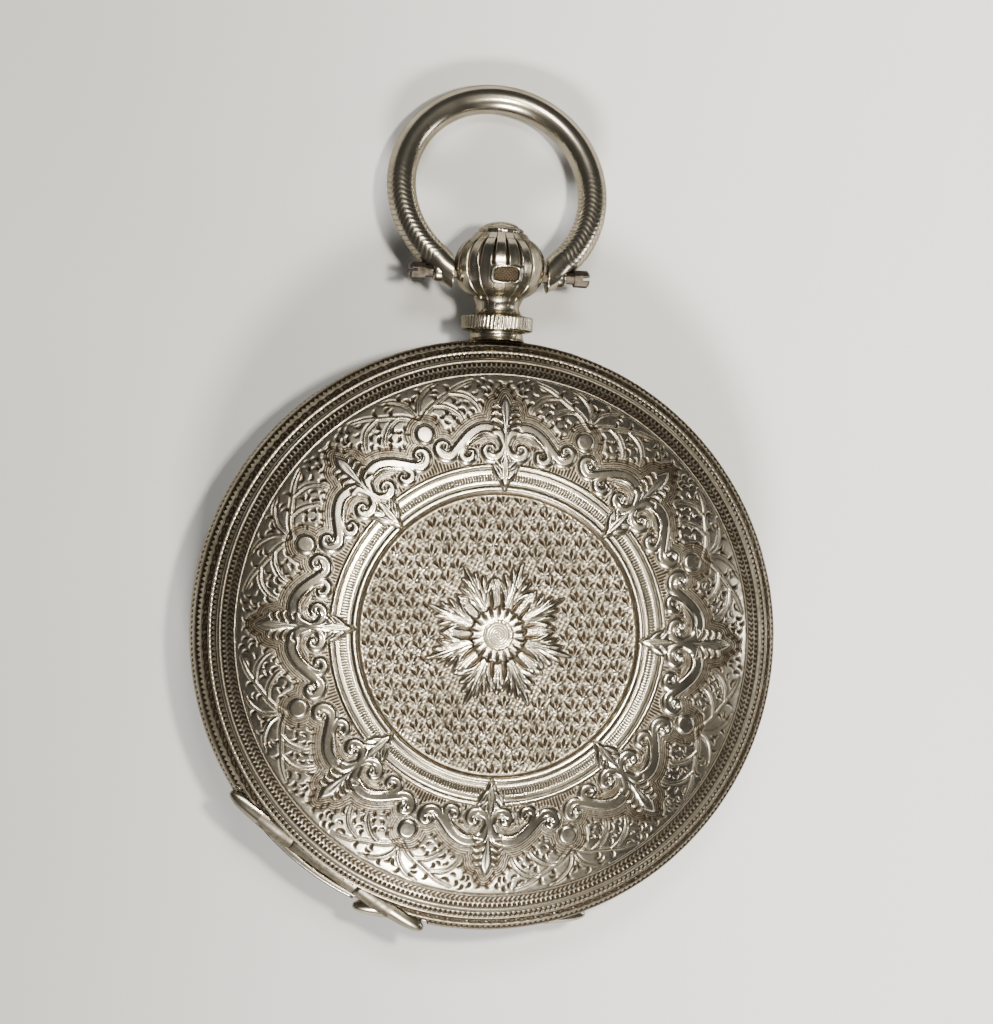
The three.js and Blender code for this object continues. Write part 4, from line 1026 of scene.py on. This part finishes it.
def make_bow():
    """A round wire bent to an oval. Its ends are filed flat, just clear of the pendant's ball."""
    spacing, sides, inner = 0.075, 96, 100
    angles = np.radians(np.linspace(-50, 230, 60))
    across, along = BOW["half_width"] * np.cos(angles), BOW["centre"] + BOW["half_length"] * np.sin(angles)
    end = np.array([(2.0, -0.85), (2.8, -0.45), (3.5, -0.04), (4.15, 0.47)])
    line = np.concatenate([end, columns(across, along), end[::-1] * (-1, 1)])
    line = resample(smooth_curve(line, 6), spacing)
    tangent = np.gradient(line, axis=0)
    tangent /= np.linalg.norm(tangent, axis=1)[:, None]
    side = columns(tangent[:, 1], -tangent[:, 0])
    around = full_turn(sides)
    count = len(line)
    index = np.arange(count)
    # Each line along the wire starts where it meets the filed end.
    width = line[:inner, :1] + side[:inner, :1] * BOW["wire"] * np.cos(around)
    start = np.array([np.interp(BALL["radius"] + 0.17, width[:, k], index[:inner]) for k in range(sides)])
    pull = np.clip(1 - index / inner, 0, 1)
    s = index[:, None] + start * (pull - pull[::-1])[:, None]
    p = np.repeat(around[None, :], count, axis=0)
    share = s / (count - 1)
    low = np.maximum(step(0.29 - share, 0, 0.10), step(share - 0.71, 0, 0.10))
    low = low * step(share, 0.07, 0.09) * step(1 - share, 0.07, 0.09)
    chevron = np.abs((p * 5 / math.tau) % 1 - 0.5) * 2
    cut = low * np.clip(np.cos(math.tau * (s * spacing / 0.40 + 0.9 * chevron)), 0, 1)
    radius = BOW["wire"] - 0.013 * cut
    x, y = (np.interp(s, index, line[:, k]) + np.interp(s, index, side[:, k]) * radius * np.cos(p)
            for k in (0, 1))
    points = columns(x, y, radius * np.sin(p))
    caps = [np.repeat(points[k:k + 1].mean(axis=1, keepdims=True), sides, axis=1) for k in (0, count - 1)]
    points = np.concatenate([caps[0], points, caps[1]])
    cut = np.pad(cut, ((1, 1), (0, 0)))
    piece = grid_piece("bow_ring", bow_place(points), ENGRAVED, "bow", 0.35 * cut)
    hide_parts("bow")
    profile = [(0.55, 4.0), (0.7, 4.05), (0.74, 4.2), (0.75, 4.7), (0.72, 4.9), (0.66, 5.0), (0.58, 5.06),
               (0.5, 5.08)]
    for hand, sign in (("left", -1), ("right", 1)):
        lug = along_x(lathe_points([(r, sign * x) for r, x in profile], 64), 0, 0)
        grid_piece(f"bow_lug_{hand}", bow_place(lug), ENGRAVED, "bow")


make_bow()


# ---- Glass side and cuvette, turned smooth over the CAD's facets ----

def glass_hinge_room(points, back):
    """Leaves room for the small hinge of the bezel or the cuvette, as the CAD does."""
    x, y, z = parts_of(flip_back_inverse(points) if back else points)
    edge = -SMALL_HINGE["radius"] + 0.12
    beside = np.abs(x) < SMALL_HINGE["half"]
    y = np.where(beside & (y < edge) & (z > 2.4), edge, y)
    dy, dz = y + SMALL_HINGE["radius"], z - SMALL_HINGE["z"]
    move_y, move_z = pushed_out(dy, dz, beside & (np.abs(x) > SMALL_HINGE["middle"]), 0.52)
    local = columns(x, y + move_y, z + move_z)
    return flip_back(local) if back else local


def small_knuckle(name, body, turn):
    tube = lathe_points(rounded_bar(-1.48, 1.48, 0.45, 0.05), 32)
    tube = along_x(tube, -SMALL_HINGE["radius"], SMALL_HINGE["z"])
    grid_piece(name, turn(tube), LINING, body)


def make_glass_side():
    """The bezel and the crystal over the dial."""
    profile = [(16.0, 2.06), (16.0, 1.98), (16.15, 1.94), (16.8, 1.98), (17.2, 2.09), (17.8, 2.34),
               (18.4, 2.66), (18.85, 2.98), (18.98, 3.12), (18.99, 3.5), (18.99, 4.33), (18.93, 4.37),
               (18.2, 4.37), (18.12, 4.3), (17.9, 3.32), (17.2, 3.05), (16.45, 2.8), (16.4, 2.7),
               (16.4, 2.14)]
    points = glass_hinge_room(lathe_points(profile, 240), False)
    piece = grid_piece("glass_bezel", points, LINING, "bezel", wrap_rows=True)
    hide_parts("bezel")
    small_knuckle("bezel_knuckle", "bezel", same)
    reach = np.linspace(0.02, 16.35, 22)
    dome = (reach / 16.35) ** 2.4
    outer, inner = columns(reach, 1.2 + 0.97 * dome), columns(reach, 1.74 + 0.94 * dome)[::-1]
    points = lathe_points(np.concatenate([outer, inner]), 180)
    piece = grid_piece("watch_crystal", points, GLASS, "bezel")
    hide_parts("crystal")


def make_cuvette():
    """The inner dust cover with its two key holes."""
    dome = smooth_curve([(0.02, 11.1), (7, 11.06), (14, 10.95), (17.4, 10.25), (18.8, 9.4)], 8)
    under = smooth_curve([(18.1, 9.15), (17.1, 9.82), (14, 10.52), (7, 10.62), (0.02, 10.66)], 8)
    edge = [(18.97, 8.9), (18.99, 8.5), (18.99, 8.06), (18.92, 8.03), (18.25, 8.03), (18.2, 8.1)]
    profile = np.concatenate([dome, edge, under])
    points = glass_hinge_room(lathe_points(profile, 240), True)
    piece = grid_piece("cuvette_dome", points, LINING, "cuvette")
    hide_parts("cuvette")
    small_knuckle("cuvette_knuckle", "cuvette", flip_back)
    ring = [(1.3, 11.0), (1.3, 11.16), (1.42, 11.2), (1.6, 11.2), (1.7, 11.13), (1.7, 11.0)]
    well = [(0.01, 11.115), (1.31, 11.115), (1.31, 11.0)]
    for name, y in KEY_HOLES.items():
        place = np.array([0, y, 0])
        grid_piece(name, lathe_points(ring, 64) + place, POLISHED, "cuvette", wrap_rows=True)
        grid_piece(name + "_well", lathe_points(well, 64) + place, DULL_STEEL, "cuvette")


make_glass_side()
make_cuvette()


# ---- Dial ----
NUMERALS = ["XII", "I", "II", "III", "IIII", "V", "VI", "VII", "VIII", "IX", "X", "XI"]

# Each letter's width and its slanted bars: foot, head and half width.
LETTERS = {
    "I": (0.55, [(0, 0, 0.14)]),
    "V": (1.15, [(0, -0.38, 0.15), (0, 0.38, 0.06)]),
    "X": (1.15, [(0.36, -0.36, 0.15), (-0.36, 0.36, 0.06)]),
}


def numeral_bars(text):
    """A numeral's bars, centred on zero, and its whole width."""
    total = sum(LETTERS[letter][0] for letter in text)
    at = -total / 2
    bars = []
    for letter in text:
        width, strokes = LETTERS[letter]
        bars += [(at + width / 2 + foot, at + width / 2 + head, half) for foot, head, half in strokes]
        at += width
    return bars, total


def make_dial():
    """White enamel with its figures and its two minute rings, the small one round the seconds."""
    z = DIAL["face"]
    radius = DIAL["radius"]
    profile = [(1.16, z + 0.4), (1.16, z + 0.02), (1.2, z), (radius - 0.12, z), (radius - 0.03, z + 0.04),
               (radius, z + 0.12), (radius, z + 0.4)]
    piece = grid_piece("dial_enamel", lathe_points(profile, 240), ENAMEL, "case")
    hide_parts("dial")
    points = []

    def on_dial(x, y, clock, reach, centre):
        c, s = cos_sin(clock)
        r = reach + y
        points.append((centre[0] - (r * s + x * c), centre[1] + r * c - x * s, z - 0.012))

    def bar(clock, reach, low, high, wide, foot=0, head=0, centre=(0, 0)):
        """A flat bar across the radius, from foot at its low side to head at its high side."""
        for x, y in ((foot - wide, low), (foot + wide, low), (head + wide, high), (head - wide, high)):
            on_dial(x, y, clock, reach, centre)

    def minute_ring(centre, reach, apart, wide, steps, length, tick):
        """Two ring lines with 60 ticks between them, every fifth one bold."""
        for line in (reach - apart, reach + apart):
            for k in range(steps):
                a, b = 360 * k / steps, 360 * (k + 1) / steps
                for y, clock in ((-wide, a), (wide, a), (wide, b), (-wide, b)):
                    on_dial(0, y, clock, line, centre)
        for k in range(60):
            bar(6 * k, reach, -length, length, tick * (2.2 if k % 5 == 0 else 1), centre=centre)

    tall = 1.55
    for hour, text in enumerate(NUMERALS):
        bars, total = numeral_bars(text)
        for foot, head, wide in bars:
            bar(hour * 30, DIAL["numerals"], -tall, tall, wide, foot, head)
        for y in (-tall, tall):
            bar(hour * 30, DIAL["numerals"], y - 0.05, y + 0.05, total / 2)
    minute_ring((0, 0), DIAL["minutes"], 0.35, 0.035, 180, 0.33, 0.05)
    minute_ring(DIAL["seconds"], 3.45, 0.25, 0.03, 90, 0.24, 0.025)
    mesh = mesh_from("dial_figures", points, np.arange(len(points)).reshape(-1, 4), False)
    new_piece("dial_figures", mesh, DIAL_BLACK, "case")


make_dial()


# ---- Carried-over CAD nodes ----
FINISH_OF_SLOT = {"silver": LINING, "dark_steel": DULL_STEEL, "blued_steel": BLUED, "steel": STEEL,
                  "gilt_brass": GILT, "brass": BRASS, "enamel": ENAMEL, "glass": GLASS}
for row in frame["record"]["subparts"]:
    node = frame["nodes"][row["node"]]
    if node.hide_render:
        continue
    for place in node.material_slots:
        place.material = FINISH_OF_SLOT[row["material_slot"]]


# ---- Camera ----
CAMERA = {"azimuth": -82.7, "elevation": 79.57, "roll": 2.51, "distance": 420.0, "lens": 203.1,
          "target": (0.59, 9.21, 6.2)}


def make_camera():
    az, el, roll = (math.radians(CAMERA[k]) for k in ("azimuth", "elevation", "roll"))
    back = Vector((math.sin(az) * math.cos(el), -math.cos(az) * math.cos(el), math.sin(el)))
    up = (Vector((0, 1, 0)) - back * back.y).normalized()
    right = up.cross(back)
    x_axis = right * math.cos(roll) + up * math.sin(roll)
    y_axis = up * math.cos(roll) - right * math.sin(roll)
    data = bpy.data.cameras.new("camera")
    data.sensor_fit = "HORIZONTAL"
    data.sensor_width = 36.0
    data.lens = CAMERA["lens"]
    data.clip_start = 0.01
    data.clip_end = 20.0
    camera = add_object("camera", data)
    turn = Matrix((x_axis, y_axis, back)).transposed().to_4x4()
    place = Vector(CAMERA["target"]) + back * CAMERA["distance"]
    camera.matrix_world = Matrix.Translation(place * MM) @ turn
    bpy.context.scene.camera = camera


make_camera()


# ---- Floor and light ----
def make_floor():
    made, tree, shader = new_material("pale_floor_painted_shade")
    cloud = noise(tree, 9, 4)
    # The floor's colour holds painted light: a dark band on the left and a bright band on the right, blended
    # across the middle, stand in for the light falling off away from the right.
    place = add_node(tree, "ShaderNodeTexCoord").outputs["Object"]
    across = add_node(tree, "ShaderNodeSeparateXYZ", {"Vector": place}).outputs["X"]
    inputs = {"Value": across, "From Min": -0.045, "From Max": 0.045, "To Min": 0.0, "To Max": 1.0}
    share = add_node(tree, "ShaderNodeMapRange", inputs, interpolation_type="SMOOTHSTEP").outputs["Result"]
    # The left colour is painted shade and the right colour is painted light; the cloud within each is the
    # floor's own mottle.
    left = ramp(tree, cloud, [(0.3, (0.25, 0.25, 0.245)), (0.7, (0.28, 0.28, 0.275))])
    right = ramp(tree, cloud, [(0.3, (0.60, 0.60, 0.60)), (0.7, (0.63, 0.63, 0.63))])
    tree.links.new(mix_colour(tree, share, left, right), shader.inputs["Base Color"])
    tree.links.new(spread(tree, cloud, 0.6, 0.5), shader.inputs["Roughness"])
    x, y = np.meshgrid(np.linspace(-900, 900, 9), np.linspace(-900, 900, 9))
    mesh = grid_mesh("floor", columns(x, y, np.full_like(x, -0.02)), False)
    mesh.materials.append(made)
    floor = add_object("floor", mesh)


def area_light(name, place, aim, size, power, colour):
    """A soft box at a place, turned to its aim, with its size in millimetres."""
    data = bpy.data.lights.new(name, "AREA")
    data.shape = "RECTANGLE"
    data.size, data.size_y = size[0] * MM, size[1] * MM
    data.energy = power
    data.color = colour
    lamp = add_object(name, data)
    lamp.location = Vector(place) * MM
    lamp.rotation_euler = (Vector(aim) - Vector(place)).to_track_quat("-Z", "Y").to_euler()


def make_light():
    world = bpy.data.worlds.new("studio")
    bpy.context.scene.world = world
    world.use_nodes = True
    sky = world.node_tree.nodes["Background"].inputs
    sky["Color"].default_value = (0.86, 0.88, 0.90, 1)
    sky["Strength"].default_value = 0.09
    warm = (1.0, 0.97, 0.92)
    area_light("right", (330, 20, 110), (30, 0, 0), (110, 60), 0.3, (1.0, 0.99, 0.98))
    area_light("overhead", (-60, 330, 740), (0, 5, 0), (200, 170), 4.8, warm)
    area_light("front", (-40, -600, 500), (0, 5, 0), (230, 120), 16.0, warm)
    area_light("glint", (20, 24, 250), (0, 5, 12), (20, 20), 0.95, (1.0, 0.93, 0.80))


make_floor()
make_light()
